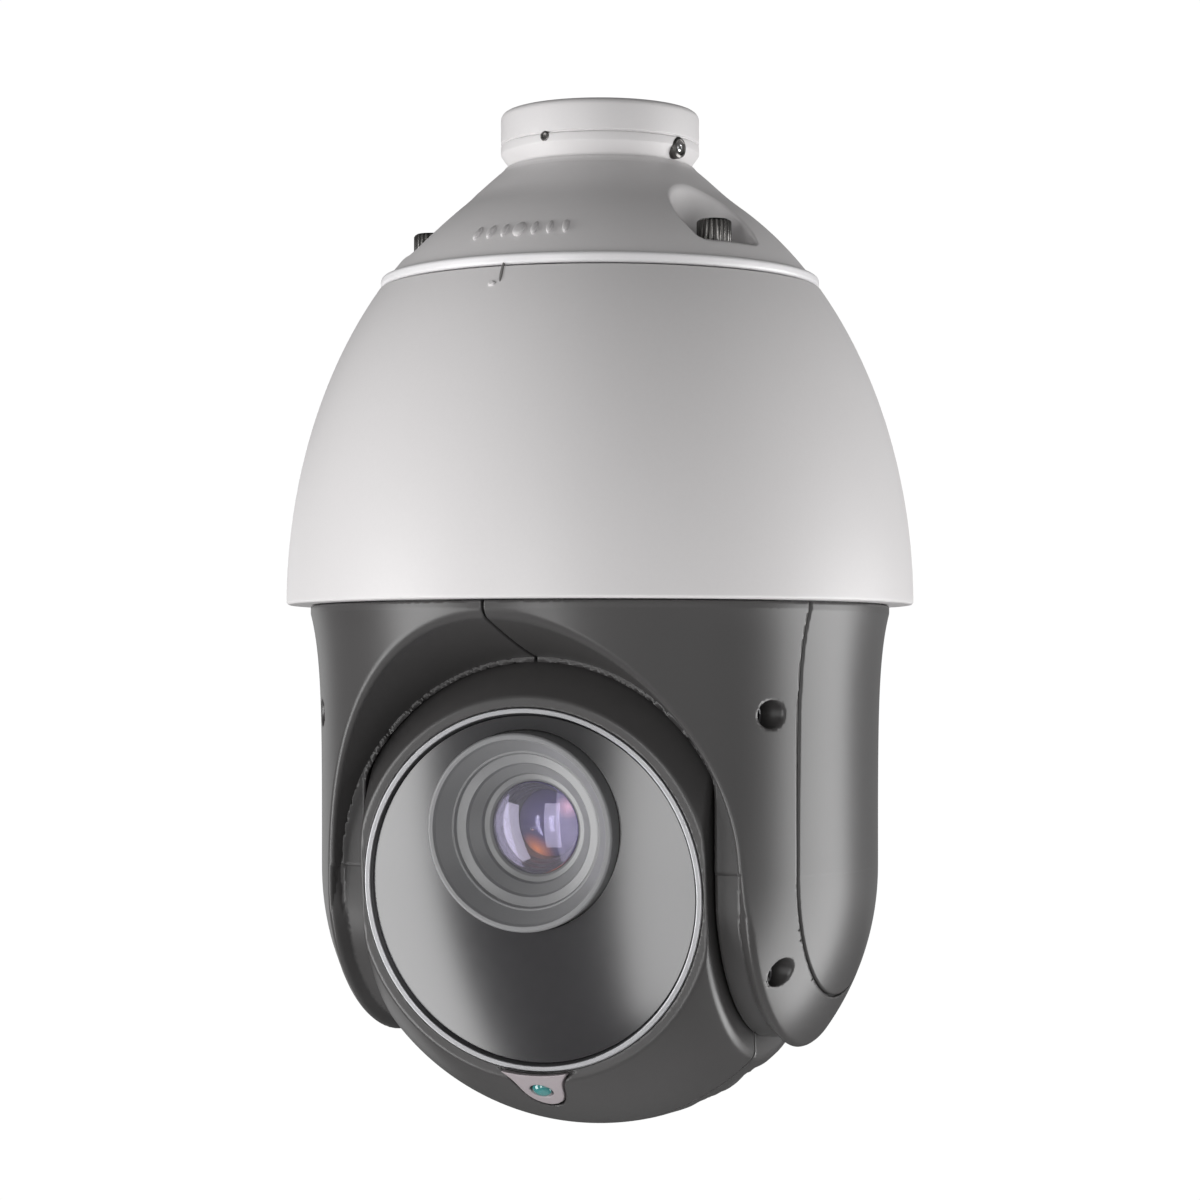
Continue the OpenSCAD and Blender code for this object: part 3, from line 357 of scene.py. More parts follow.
def stacked(rings, around, place=Matrix()):
    """Points and faces of a solid built of rings; a ring is (height, radius at each angle)."""
    angle = 2 * np.pi * np.arange(around) / around
    points = []
    for height, radius in rings:
        rho = radius(angle) if callable(radius) else np.full(around, float(radius))
        points.append(np.stack([rho * np.cos(angle), rho * np.sin(angle), np.full(around, height)], -1))
    quads = [tuple(quad) for quad in band_quads(len(rings), around)[:, [0, 3, 2, 1]].tolist()]
    ends = [tuple(range(around))[::-1], tuple((len(rings) - 1) * around + i for i in range(around))]
    turn, shift = as_array(place)
    return np.concatenate(points) @ turn.T + shift, quads + ends


# ---- meshes

def piece(name, parts, body, material, slot, *replaces):
    """A finished piece of the object, on its body."""
    obj = mesh_object(name, parts)
    obj.data.materials.append(material)
    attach(obj, body)
    if replaces:
        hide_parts(*replaces)


def mesh_object(name, parts):
    """One object of several (points, faces[, normals]) parts; sizes come in millimetres."""
    points = np.concatenate([p[0] for p in parts])
    offsets = np.cumsum([0] + [len(p[0]) for p in parts[:-1]])
    faces = []
    for part, start in zip(parts, offsets):
        faces += (np.array(part[1]) + start).tolist() if isinstance(part[1], np.ndarray) else \
            [tuple(k + int(start) for k in f) for f in part[1]]
    mesh = bpy.data.meshes.new(name)
    mesh.from_pydata(points * MM, [], faces)
    mesh.polygons.foreach_set("use_smooth", [True] * len(mesh.polygons))
    mesh.validate()
    if all(len(p) > 2 for p in parts):
        mesh.normals_split_custom_set_from_vertices(np.concatenate([p[2] for p in parts]))
    else:
        mesh.set_sharp_from_angle(angle=SHARP_ANGLE)
    mesh.update()
    obj = bpy.data.objects.new(name, mesh)
    bpy.context.scene.collection.objects.link(obj)
    return obj


def placed(part, matrix):
    """A part's points and normals carried into the frame by a matrix."""
    turn, shift = as_array(matrix)
    return (part[0] @ turn.T + shift, part[1]) + tuple(n @ turn.T for n in part[2:])


def mirrored(part):
    """A part on the other side of the pan axis."""
    flip = np.array((-1, 1, 1))
    return (part[0] * flip, part[1][:, ::-1]) + tuple(n * flip for n in part[2:])


def at_angle(angle, out, z):
    """Matrix of an upright place round the pan axis."""
    a = math.radians(angle)
    return Matrix.Translation((out * math.sin(a), -out * math.cos(a), z)) @ Matrix.Rotation(a, 4, "Z")


def face_towards(angle, out, z, lean=0.0):
    """Matrix of a place on the housing: +Z points outwards at an angle from the front, leaning up."""
    return at_angle(angle, out, z) @ Matrix.Rotation(math.pi / 2 - lean, 4, "X")


def on_dome(angle, z):
    """Matrix of a place on the housing's ellipse, with +Z square to it."""
    out = float(dome_r(z))
    return face_towards(angle, out, z, math.atan2(out - float(dome_r(z + 1)), 1))


# ---- materials

class Signal:
    """A node's output that can be reckoned with as if it were a number."""

    def __init__(self, socket):
        self.socket = socket

    def math(self, operation, *others, clamp=False):
        """This value and another through a Math node; None stands for this one's place."""
        node = self.socket.id_data.nodes.new("ShaderNodeMath")
        node.operation, node.use_clamp = operation, clamp
        values = others if len(others) == 2 else (self, *others)
        for slot, value in zip(node.inputs, values):
            wire(self if value is None else value, slot)
        return Signal(node.outputs[0])

    def __add__(self, other):
        return self.math("ADD", other)

    def __sub__(self, other):
        return self.math("SUBTRACT", other)

    def __rsub__(self, other):
        return self.math("SUBTRACT", other, None)

    def __mul__(self, other):
        return self.math("MULTIPLY", other)


def wire(value, slot):
    """Gives an input a signal, a number or a colour."""
    if isinstance(value, Signal):
        slot.id_data.links.new(value.socket, slot)
    elif isinstance(value, (tuple, list)) and slot.type == "RGBA":
        slot.default_value = (*value[:3], 1)
    else:
        slot.default_value = value


def add_node(tree, kind, output=0, **inputs):
    """A new node with its inputs wired; gives one output as a signal."""
    node = tree.nodes.new("ShaderNode" + kind)
    for name, value in inputs.items():
        wire(value, node.inputs[name])
    return Signal(node.outputs[output])


class Group:
    """A new shader node group with its inputs as signals."""

    def __init__(self, name, **inputs):
        self.tree = bpy.data.node_groups.new(name, "ShaderNodeTree")
        for socket, default in inputs.items():
            made = self.tree.interface.new_socket(socket, in_out="INPUT", socket_type="NodeSocketFloat")
            made.default_value = default
        given = self.tree.nodes.new("NodeGroupInput")
        self.given = {socket: Signal(given.outputs[socket]) for socket in inputs}
        self.point = add_node(self.tree, "TexCoord", "Object")
        self.out = self.tree.nodes.new("NodeGroupOutput")

    def noise(self, scale, detail=2.0, rough=0.5, stretch=None):
        """Noise over the object's own coordinates; scale counts its cells in a metre."""
        point = add_node(self.tree, "Mapping", Vector=self.point, Scale=stretch) if stretch else self.point
        return add_node(self.tree, "TexNoise", "Fac", Vector=point, Scale=scale, Detail=detail, Roughness=rough)

    def give(self, socket, signal):
        """Adds an output to the group."""
        self.tree.interface.new_socket(socket, in_out="OUTPUT", socket_type="NodeSocketFloat")
        wire(signal, self.out.inputs[socket])


def surface_grain(name):
    """Fine skin of a powder coat or a textured mould, with slow changes of tone."""
    group = Group(name, Grains=900.0, Unevenness=0.5)
    grains = group.given["Grains"]
    fine, coarse, slow = group.noise(grains, 3.0), group.noise(grains * 0.23, 1.0), group.noise(22.0)
    group.give("Height", fine * 0.6 + coarse * 0.4)
    wander = (slow - 0.5) * group.given["Unevenness"]
    group.give("Tone", (wander + (fine - 0.5) * 0.5).math("ADD", 0.5, clamp=True))


def settled_dust(name):
    """Thin dust on faces that look up, broken up by noise."""
    group = Group(name, Amount=0.1)
    normal = add_node(group.tree, "NewGeometry", "Normal")
    up = add_node(group.tree, "SeparateXYZ", "Z", Vector=normal).math("MAXIMUM", 0.0).math("POWER", 1.6)
    patches = group.noise(160.0, 5.0, 0.65) * 1.4
    group.give("Mask", (up * patches).math("MULTIPLY", group.given["Amount"], clamp=True))


def hairlines(name):
    """Sparse hairline scratches and, at a high count, a brushed grain along X."""
    group = Group(name, Lines=500.0, Share=0.1)
    along = group.noise(group.given["Lines"], 1.0, stretch=(0.06, 1.0, 1.0))
    across = group.noise(group.given["Lines"], 1.0, stretch=(1.0, 1.0, 0.07))
    low = 0.5 - group.given["Share"] * 0.5
    group.give("Height", (along - low).math("MAXIMUM", across - low).math("MAXIMUM", 0.0))


def edge_wear(name):
    """Mask along sharp outer edges, broken up by noise."""
    group = Group(name, Amount=0.3)
    pointy = add_node(group.tree, "NewGeometry", "Pointiness")
    edge = (pointy - 0.53).math("MULTIPLY", 9.0, clamp=True)
    patches = group.noise(300.0, 4.0, 0.6) * 1.3
    group.give("Mask", (edge * patches).math("MULTIPLY", group.given["Amount"], clamp=True))


def painted_glint_patch(name):
    """Soft round patch about a point: the mask of a painted glint, a coloured patch that stands in for a reflection
    in a coated lens.
    """
    group = Group(name, X=0.0, Y=0.0, Z=0.0, Radius=0.004)
    middle = add_node(group.tree, "CombineXYZ", **{axis: group.given[axis] for axis in "XYZ"})
    apart = group.tree.nodes.new("ShaderNodeVectorMath")
    apart.operation = "DISTANCE"
    wire(group.point, apart.inputs[0])
    wire(middle, apart.inputs[1])
    share = Signal(apart.outputs["Value"]).math("DIVIDE", group.given["Radius"])
    group.give("Mask", share.math("SUBTRACT", 1.0, None, clamp=True).math("POWER", 1.3))


GROUPS = {"Surface Grain": surface_grain, "Settled Dust": settled_dust, "Hairlines": hairlines,
          "Edge Wear": edge_wear, "Coating Bloom": painted_glint_patch}


def masked(tree, name, output="Mask", **values):
    """A node of one of the shared groups, with its own values; gives one output as a signal."""
    node = tree.nodes.new("ShaderNodeGroup")
    if name not in bpy.data.node_groups:
        GROUPS[name](name)
    node.node_tree = bpy.data.node_groups[name]
    for socket, value in values.items():
        node.inputs[socket].default_value = value
    return Signal(node.outputs[output])


def mixed(tree, factor, a, b):
    """Two colours through a Mix node; each is a colour or a signal."""
    node = tree.nodes.new("ShaderNodeMix")
    node.data_type = "RGBA"
    wire(factor, node.inputs["Factor"])
    wire(a, node.inputs[6])
    wire(b, node.inputs[7])
    return Signal(node.outputs[2])


def paint_glint(material, centre, radius, tint):
    """Adds a painted glint to a coated lens: a glowing coloured patch that stands in for a reflection; centre and
    radius are in millimetres.
    """
    tree = material.node_tree
    inputs = tree.nodes["Principled BSDF"].inputs
    # The emission makes the patches glow as painted reflections; the lens is no lamp.
    inputs["Emission Strength"].default_value = 0.55
    mask = masked(tree, "Coating Bloom", X=centre.x * MM, Y=centre.y * MM, Z=centre.z * MM, Radius=radius * MM)
    for slot in (inputs["Base Color"], inputs["Emission Color"]):
        before = Signal(slot.links[0].from_socket) if slot.links else (0, 0, 0)
        wire(mixed(tree, mask, before, tint), slot)


def finish(name, tint, rough, grains=900.0, depth=2e-5, tone=0.12, uneven=0.5, dust=0.0, wear=0.0,
           worn=None, lines=0.0, line_count=600.0, rough_swing=0.06, **constants):
    """A material with grain, tone, dust, wear and hairlines; constants go on the shader's own sockets."""
    material = bpy.data.materials.get(name)
    if material:
        return material
    material = bpy.data.materials.new(name)
    material.use_nodes = True
    tree = material.node_tree
    inputs = tree.nodes["Principled BSDF"].inputs
    grain = masked(tree, "Surface Grain", "Tone", Grains=grains, Unevenness=uneven)
    base = mixed(tree, grain, [c * (1 - tone) for c in tint], [min(1, c * (1 + tone)) for c in tint])
    if wear:
        worn = worn or [min(1, c * 1.8 + 0.04) for c in tint]
        base = mixed(tree, masked(tree, "Edge Wear", Amount=wear), base, worn)
    if dust:
        base = mixed(tree, masked(tree, "Settled Dust", Amount=dust), base, (0.42, 0.40, 0.38))
    wire(base, inputs["Base Color"])
    wire(((grain - 0.5) * (rough_swing * 2)).math("ADD", rough, clamp=True), inputs["Roughness"])
    height = Signal(grain.socket.node.outputs["Height"])
    if lines:
        height = height - masked(tree, "Hairlines", "Height", Lines=line_count, Share=lines)
    wire(add_node(tree, "Bump", "Normal", Strength=0.7, Distance=depth, Height=height), inputs["Normal"])
    for socket, value in constants.items():
        inputs[socket.replace("_", " ")].default_value = value
    material.diffuse_color = (*tint, 1)
    return material


def powder_coat():
    """White powder coat of the collar, cap and shell."""
    return finish("powder_coat", scene_settings("housing").paint, 0.42, 1100.0, 3e-5, 0.03, 0.4, dust=0.10,
                  wear=0.25, worn=(0.74, 0.73, 0.72), IOR=1.45)


def charcoal(name="yoke_charcoal", tint=None):
    """Moulded charcoal plastic."""
    return finish(name, tint or scene_settings("yoke").plastic, 0.33, 1500.0, 1.2e-5, 0.08, 0.5, dust=0.05,
                  wear=0.35, lines=0.05, IOR=1.52)


STEEL = dict(tint=(0.60, 0.60, 0.61), rough=0.30, grains=2200.0, depth=6e-6, tone=0.10, uneven=0.7, lines=0.25,
             line_count=2600.0, Metallic=1.0)


def steel(name, tint, rough):
    """Plated or ground steel of a given tint."""
    return finish(**dict(STEEL, name=name, tint=tint, rough=rough))


def dark_steel_and_hole_shade():
    """Dark steel of the screws in the cap; on the collar the same dark colour is painted shade, standing in for the
    screws' countersunk holes.
    """
    return steel("dark_plated_steel", (0.16, 0.155, 0.15), 0.26)


def black_anodised(name="hood_anodised_with_painted_sheen", tint=None, rough=0.33):
    """Anodised aluminium of the lens hood and its rings; the hood's own tint is lightened as painted sheen, while
    the rings are given their near-black.
    """
    return finish(name, tint or scene_settings("head").hood, rough, 2400.0, 8e-6, 0.08, 0.4, lines=0.08,
                  IOR=1.6)


# The finish of each slot that pieces carried over from the CAD model have.
SLOT_FINISHES = {
    "screw_steel": dict(STEEL, name="plated_steel"),
    "race_steel": dict(STEEL, name="ground_race_steel", tint=(0.66, 0.67, 0.68), rough=0.14),
    "seal_rubber": dict(name="seal_rubber_skin", tint=(0.018, 0.018, 0.019), rough=0.72, grains=1700.0, depth=3e-5,
                        tone=0.15, uneven=0.6, dust=0.12),
    "belt_rubber": dict(name="belt_rubber_skin", tint=(0.022, 0.022, 0.022), rough=0.65, grains=1300.0, depth=4e-5,
                        tone=0.2),
    "cast_aluminium": dict(name="cast_aluminium_skin", tint=(0.52, 0.53, 0.54), rough=0.45, grains=700.0,
                           depth=5e-5, tone=0.10, uneven=0.7, Metallic=1.0),
    "board_green": dict(name="lacquered_board", tint=(0.02, 0.11, 0.06), rough=0.35, grains=600.0, tone=0.25,
                        uneven=1.0, IOR=1.55),
    "part_black": dict(name="moulded_black", tint=(0.03, 0.03, 0.034), rough=0.5, grains=1600.0, tone=0.15),
    "pulley_plastic": dict(name="acetal_black", tint=(0.04, 0.042, 0.046), rough=0.38, depth=1e-5, tone=0.1),
    "pinion_brass": dict(name="machined_brass", tint=(0.62, 0.46, 0.18), rough=0.25, grains=1800.0, depth=1e-5,
                         lines=0.3, line_count=3000.0, Metallic=1.0),
    "reflector_chrome": dict(name="reflector_chrome_skin", tint=(0.72, 0.72, 0.74), rough=0.1, grains=1200.0,
                             depth=4e-6, tone=0.04, Metallic=1.0),
    "filter_glass": dict(name="filter_coating", tint=(0.3, 0.05, 0.05), rough=0.08, grains=500.0, depth=2e-6,
                         tone=0.08, IOR=1.6),
}


# ---- housing

def cap_field(x, y, z):
    """The cast cap with its shoulder, from the neck to the trim ring, cut by the screw pockets."""
    r = np.hypot(x, y)
    heights = (-25.4, -22.0, -18.7, -17.2, -16.3, -15.9, -15.4)
    radii = (float(dome_r(-25.4)), 33.1, 29.5, 27.7, 26.7, 26.3, 25.3)
    sharp = lambda h: np.where(h < -25.4, dome_r(h), np.interp(h, heights, radii))
    outside = lambda h: sum(sharp(h + shift) for shift in (-1.8, -0.9, 0, 0.9, 1.8)) / 5
    lean = (outside(z + 0.3) - outside(z - 0.3)) / 0.6
    cap = meet((r - outside(z)) / np.hypot(1, lean), z - CAP_TOP_Z, 0.25)
    cap = meet(cap, CAP_END_Z - CAP_SINK - z, 0.3)
    cap = carve(cap, np.maximum(r - 24.0, -20.5 - z), 0.2)
    edge = scene_settings("housing").pocket_round / MM
    for angle in CAP_SCREW_ANGLES:
        a = math.radians(angle)
        wall = np.hypot(x - CAP_SCREW_AT * math.sin(a), y + CAP_SCREW_AT * math.cos(a)) - SCREW_POCKET_R
        cap = carve(cap, meet(wall, POCKET_FLOOR_Z - z, 1.2), edge)
    return cap


def thread_cut(part):
    """Turns the smooth bore of the collar into the turns of a pipe thread."""
    p = part[0].copy()
    r = np.hypot(p[:, 0], p[:, 1])
    turn = np.arctan2(p[:, 1], p[:, 0]) / (2 * np.pi)
    wave = 1 - np.abs(2 * ((p[:, 2] / THREAD_PITCH + turn) % 1) - 1)
    fade = np.clip(np.minimum(-p[:, 2] - 0.9, p[:, 2] - BORE_END_Z - 0.6) / 0.8, 0, 1)
    deeper = np.where(r < BORE_R + 0.18, 1 + THREAD_DEPTH * wave * fade / BORE_R, 1)
    p[:, :2] *= deeper[:, None]
    return p, part[1]


class DOME_OT_collar(bpy.types.Operator):
    """Build the cast pipe collar with its thread, groove and neck"""
    bl_idname = "dome.collar"
    bl_label = "Pipe Collar"

    def execute(self, context):
        bore = [(BORE_R, z) for z in np.arange(-13.9, -0.6, 0.2)]
        outline = bore[::-1] + [
            (BORE_R, BORE_END_Z, 0.2), (24.0, -15.4, 0.2), (25.1, -15.4, 0.2), (25.1, -14.8, 0.3),
            (27.4, -11.6, 0.8), (27.4, -9.4, 0.25), (26.6, -9.0, 0.3), (27.4, -8.6, 0.25), (27.4, 0, 3.0),
            (23.3, 0, 0.3)]
        collar = thread_cut(turned(outline, 224))
        piece("cast_collar", [collar], "housing", powder_coat(), "cap_paint", "mount_cap")
        return {"FINISHED"}


class DOME_OT_cap(bpy.types.Operator):
    """Build the cast cap with its screw pockets and grip ribs"""
    bl_idname = "dome.cap"
    bl_label = "Cast Cap"

    def execute(self, context):
        cap = skin(cap_field, (-63, -63, -47), (63, 63, -14), 0.62)
        piece("cast_cap", [cap], "housing", powder_coat(), "cap_paint", "mount_cap")
        ribs = []
        proud = scene_settings("housing").rib_proud / MM
        rows = [(-0.4, 1.0), (proud * 0.45, 0.97), (proud * 0.8, 0.80), (proud * 0.96, 0.52), (proud, 0.2)]
        for k in range(RIBS):
            width, tall = (1.7, 3.3) if k == RIBS // 2 else (0.85, 3.0)
            points, faces = stacked(rows, 24)
            share = np.clip(points[:, 2] / proud, 0, 1)
            points = points * np.array((width, tall, 1))
            points[:, 1] = points[:, 1] * (1 - 0.45 * share) - 1.5 * share
            ribs.append(placed((points, faces), on_dome(-15.5 + RIB_PITCH_DEG * k, -38.8 + 0.12 * k)))
        piece("cap_ribs", ribs, "housing", powder_coat(), "cap_paint")
        return {"FINISHED"}


class DOME_OT_trim(bpy.types.Operator):
    """Build the bright trim ring between cap and shell"""
    bl_idname = "dome.trim"
    bl_label = "Trim Ring"

    def execute(self, context):
        out = float(cad_corners("trim_ring")[1][0])
        outline = [(out - 5, CAP_END_Z - 3, 0.1), (out, CAP_END_Z - 3, 1.1), (out, CAP_END_Z, 1.2),
                   (out - 5, CAP_END_Z, 0.1)]
        trim = finish("satin_trim", scene_settings("housing").trim, 0.30, 1400.0, 1e-5, 0.03, wear=0.15, IOR=1.5)
        piece("trim_band", [turned(outline, 256)], "housing", trim, "trim_metal", "trim_ring")
        return {"FINISHED"}


class DOME_OT_shell(bpy.types.Operator):
    """Build the upper shell with its brim, and the pointer mark on its front"""
    bl_idname = "dome.shell"
    bl_label = "Upper Shell"

    def execute(self, context):
        brim = scene_settings("housing").brim_round / MM
        top = SHELL_TOP_Z - 0.4
        heights = np.linspace(BRIM_Z + SHELL_WALL, top - 0.8, 56)
        outer = [(float(dome_r(z)), z) for z in heights]
        inner = [(r - SHELL_WALL, z) for r, z in outer[::-2]]
        outline = [(78.5, BRIM_Z, 0.5), (BRIM_R, BRIM_Z, brim)] + outer + [
            (float(dome_r(top)), top, 0.3), (50, top, 0.3), (50, top - 3, 0.3)] + inner + [
            (outer[0][0] - 2.6, BRIM_Z + 2.4, 0.2), (78.5, BRIM_Z + SHELL_WALL, 0.5)]
        piece("sun_shell", [turned(outline, 288)], "housing", powder_coat(), "shell_paint", "upper_shell")
        groove = finish("groove_shadow", (0.20, 0.195, 0.19), 0.7, 1200.0, 3e-5, 0.1)
        for name, material, z, angle, wide, tall, proud in (
                ("pointer_groove", groove, -51.1, -2.2, 0.42, 3.4, 0.3),
                ("pointer_dot", powder_coat(), -54.3, -3.9, 1.05, 0.8, 0.55)):
            points, faces = stacked([(-0.3, 1.0), (proud * 0.6, 0.95), (proud, 0.6)], 24)
            mark = placed((points * np.array((wide, tall, 1)), faces),
                          on_dome(angle, z) @ Matrix.Rotation(0.10, 4, "Z"))
            piece(name, [mark], "housing", material, "shell_paint")
        return {"FINISHED"}


def socket_screw(head_r, head_h, socket_r, knurls, place, floor=0.38):
    """A socket-head screw that stands up along the local Z; floor is the socket's, as a share of its height."""
    knurl = lambda a: head_r + 0.16 * np.cos(knurls * a) if knurls else np.full_like(a, head_r)
    hexagon = lambda a: socket_r * math.cos(math.pi / 6) / np.cos((a + math.pi / 6) % (math.pi / 3) - math.pi / 6)
    bevel = lambda a: hexagon(a) + 0.25
    rings = [(0, head_r - 0.2), (0.25, knurl), (head_h - 0.8, knurl), (head_h - 0.35, head_r - 0.15),
             (head_h, head_r - 0.7), (head_h, bevel), (head_h - 0.2, hexagon), (head_h * floor + 0.04, hexagon),
             (head_h * floor, lambda a: hexagon(a) * 0.8)]
    return stacked(rings, knurls * 6 if knurls else 60, place)


class DOME_OT_cap_screws(bpy.types.Operator):
    """Build the knurled socket screws in the cap's pockets"""
    bl_idname = "dome.cap_screws"
    bl_label = "Cap Screws"

    def execute(self, context):
        parts = [socket_screw(4.5, 6.5, 2.43, 22, at_angle(a, CAP_SCREW_AT, POCKET_FLOOR_Z - 0.02))
                 for a in CAP_SCREW_ANGLES]
        piece("cap_socket_screws", parts, "housing", dark_steel_and_hole_shade(), "screw_steel", "cap_screws")
        return {"FINISHED"}


class DOME_OT_collar_screws(bpy.types.Operator):
    """Build the lock screw and the set screw in the collar as dark discs of painted shade that stand in for their
    countersunk holes, with a bright core in the lock screw
    """
    bl_idname = "dome.collar_screws"
    bl_label = "Collar Screws"

    def execute(self, context):
        # The dark discs are painted shade: they stand in for the shadowed countersunk holes round the screws.
        rim = [socket_screw(3.0, 6.15, 2.1, 0, face_towards(74, 21.6, -12), 0.95),
               socket_screw(1.5, 4.85, 1.0, 0, face_towards(-11, 22.9, -10), 0.95)]
        piece("collar_screws_with_hole_shade", rim, "housing", dark_steel_and_hole_shade(), "screw_steel", "collar_lock_screw",
              "collar_set_screw")
        core = socket_screw(1.35, 6.1, 0.6, 0, face_towards(74, 21.65, -12), 0.93)
        bright = steel("bright_plated_steel", (0.72, 0.72, 0.73), 0.2)
        piece("lock_screw_core", [core], "housing", bright, "screw_steel")
        return {"FINISHED"}


# ---- yoke

def yoke_body(x, y, z):
    """The yoke's outline of revolution, as a distance."""
    r = np.hypot(x, y)
    below = np.maximum(FLARE_FROM_Z - z, 0)
    wall = np.where(z < TILT_Z, np.hypot(r, z - TILT_Z), r - FLARE_OUT * np.exp(-below / FLARE_FADE)) - YOKE_R
    return meet(wall, z - FLARE_TOP_Z, 0.4)


def cover_outline(y, z):
    """The side cover's U, as a distance in its plane."""
    up = z - TILT_Z
    return np.where(up < 0, np.hypot(y, up), np.abs(y)) - scene_settings("yoke").cover_half_width / MM


def yoke_field(x, y, z):
    """The right half of the yoke."""
    crease = scene_settings("yoke").crease_round / MM
    up, out = z - TILT_Z, np.abs(y)
    body = yoke_body(x, y, z)
    mouth_r = ARCH_R + 9.5 * (np.maximum(out - MOUTH_Y, 0) / 32.2) ** 1.2
    yoke = carve(body, np.maximum(MOUTH_Y - out, (np.hypot(x, up) - mouth_r) * 0.9), crease)
    disc_r = MOUTH_Y - 0.05 + np.clip(x - CREASE_X + 3, 0, 3) * 0.95
    side = np.minimum(CREASE_X, mouth_r + 2.4 * np.clip(-up / 14, 0, 1))
    channel = np.maximum(np.maximum(x - side, up), disc_r - np.hypot(y, up))
    yoke = carve(yoke, channel, crease * 0.85)
    cavity = meet(np.sqrt(x * x + y * y + up * up) - BALL_R - GAP, x - FLAT_X - GAP, 1.0)
    yoke = carve(yoke, cavity, 0.3)
    for hole_y, hole_up in ARM_HOLES:
        hole = np.maximum(np.hypot(out - hole_y, up - hole_up) - ARM_HOLE_R, ARM_HOLE_FLOOR - x)
        yoke = carve(yoke, hole, 0.45)
    recess = np.maximum(cover_outline(y, z), -COVER_DEPTH - body)
    yoke = carve(yoke, np.maximum(recess, 30 - x), 0.3)
    return meet(yoke, 0.3 - x, 0.4)


def cover_field(x, y, z):
    """The right side cover."""
    body = yoke_body(x, y, z)
    plate = meet(body, cover_outline(y, z) + scene_settings("yoke").seam / MM, 0.4)
    return np.maximum(np.maximum(plate, 0.05 - COVER_DEPTH - body), 40 - x)


class DOME_OT_yoke(bpy.types.Operator):
    """Build the two halves of the yoke with their bell mouths, arms and screw holes"""
    bl_idname = "dome.yoke"
    bl_label = "Yoke Halves"

    def execute(self, context):
        right = skin(yoke_field, (-1.5, -82, -256.5), (82, 82, -134.5), 0.68)
        piece("yoke_shell_right", [right], "yoke", charcoal(), "yoke_paint", "yoke_right")
        piece("yoke_shell_left", [mirrored(right)], "yoke", charcoal(), "yoke_paint", "yoke_left")
        ring = [(70, YOKE_DECK_Z, 0.3), (70, FLARE_TOP_Z - 2, 0.3), (YOKE_NECK_R, FLARE_TOP_Z - 2, 0.3),
                (YOKE_NECK_R, YOKE_DECK_Z, 0.5)]
        piece("yoke_neck", [turned(ring, 224)], "yoke", charcoal(), "yoke_paint")
        return {"FINISHED"}


class DOME_OT_covers(bpy.types.Operator):
    """Build the side covers that close the arms"""
    bl_idname = "dome.covers"
    bl_label = "Side Covers"

    def execute(self, context):
        right = skin(cover_field, (56, -36, -243), (81.5, 36, -134.5), 0.55)
        piece("arm_cover_right", [right], "yoke", charcoal(), "yoke_paint", "side_cover_right")
        piece("arm_cover_left", [mirrored(right)], "yoke", charcoal(), "yoke_paint", "side_cover_left")
        return {"FINISHED"}


class DOME_OT_arm_screws(bpy.types.Operator):
    """Build the socket screws at the bottom of the arms' holes"""
    bl_idname = "dome.arm_screws"
    bl_label = "Arm Screws"

    def execute(self, context):
        parts = []
        for side in (-1, 1):
            for front in (-1, 1):
                for hole_y, hole_up in ARM_HOLES:
                    place = Matrix.Translation((side * (ARM_HOLE_FLOOR - 0.05), front * hole_y, TILT_Z + hole_up)) \
                        @ Matrix.Rotation(side * math.pi / 2, 4, "Y")
                    parts.append(socket_screw(3.05, 2.6, 1.5, 0, place))
        piece("arm_socket_screws", parts, "yoke", steel("blackened_steel", (0.16, 0.16, 0.165), 0.35),
              "screw_steel", "arm_screws")
        return {"FINISHED"}


# ---- head

def ball(x, y, z):
    """The whole ball with its flat sides."""
    return meet(np.sqrt(x * x + y * y + z * z) - BALL_R, np.abs(x) - FLAT_X, 1.2)


def tab_outline(x, z, grow=0.0):
    """The sensor tab seen from the front: a round-ended tongue that flares into the window's rim."""
    tongue = np.hypot(x, z - np.clip(z, -52.6, -40)) - 5.8 - grow
    flared = join(tongue, np.hypot(x, z) - RIM_R + 0.7 - grow * 0.5, 8.0)
    return np.maximum(flared, RIM_R + 0.55 - np.hypot(x, z))


def ball_front_field(x, y, z):
    """The ball's front part, with the window's seat, the lens bore and the tab's seat cut in it."""
    part = meet(ball(x, y, z), -y - FACE_Y, 0.5)
    part = meet(part, y + SPLIT_Y + 0.8, 0.35)
    part = carve(part, np.maximum(np.hypot(x, z) - RIM_R, y + SEAT_Y), 0.12)
    part = carve(part, np.hypot(x, z - LENS_UP) - HOOD_R + 1.5, 0.2)
    seat = np.maximum(tab_outline(x, z, 0.55), BALL_R - 1.8 - np.sqrt(x * x + y * y + z * z))
    return carve(part, np.where((y < -SPLIT_Y) & (z < -30), seat, 9.0), 0.35)


def ball_rear_field(x, y, z):
    """The ball's rear part with its rows of cooling pockets."""
    part = meet(ball(x, y, z), -y - SPLIT_Y, 0.35)
    reach = np.hypot(y, z)
    around = np.degrees(np.arctan2(y, -z))
    edge = scene_settings("head").pocket_round / MM
    cut = np.full_like(x, 9.0)
    for at in COOLING_PITCH * np.arange(-4, 5):
        floor = math.sqrt((BALL_R - COOLING_DEPTH) ** 2 - at ** 2)
        for start, end in COOLING_SPANS:
            past = np.radians(np.maximum(np.abs(around - (start + end) / 2) - (end - start) / 2, 0)) * reach
            over = np.where(past > 0, np.hypot(x - at, past) + 1.2, np.abs(x - at)) - COOLING_R
            cut = np.minimum(cut, meet(over, floor - reach, 0.8))
    return carve(part, cut, edge)


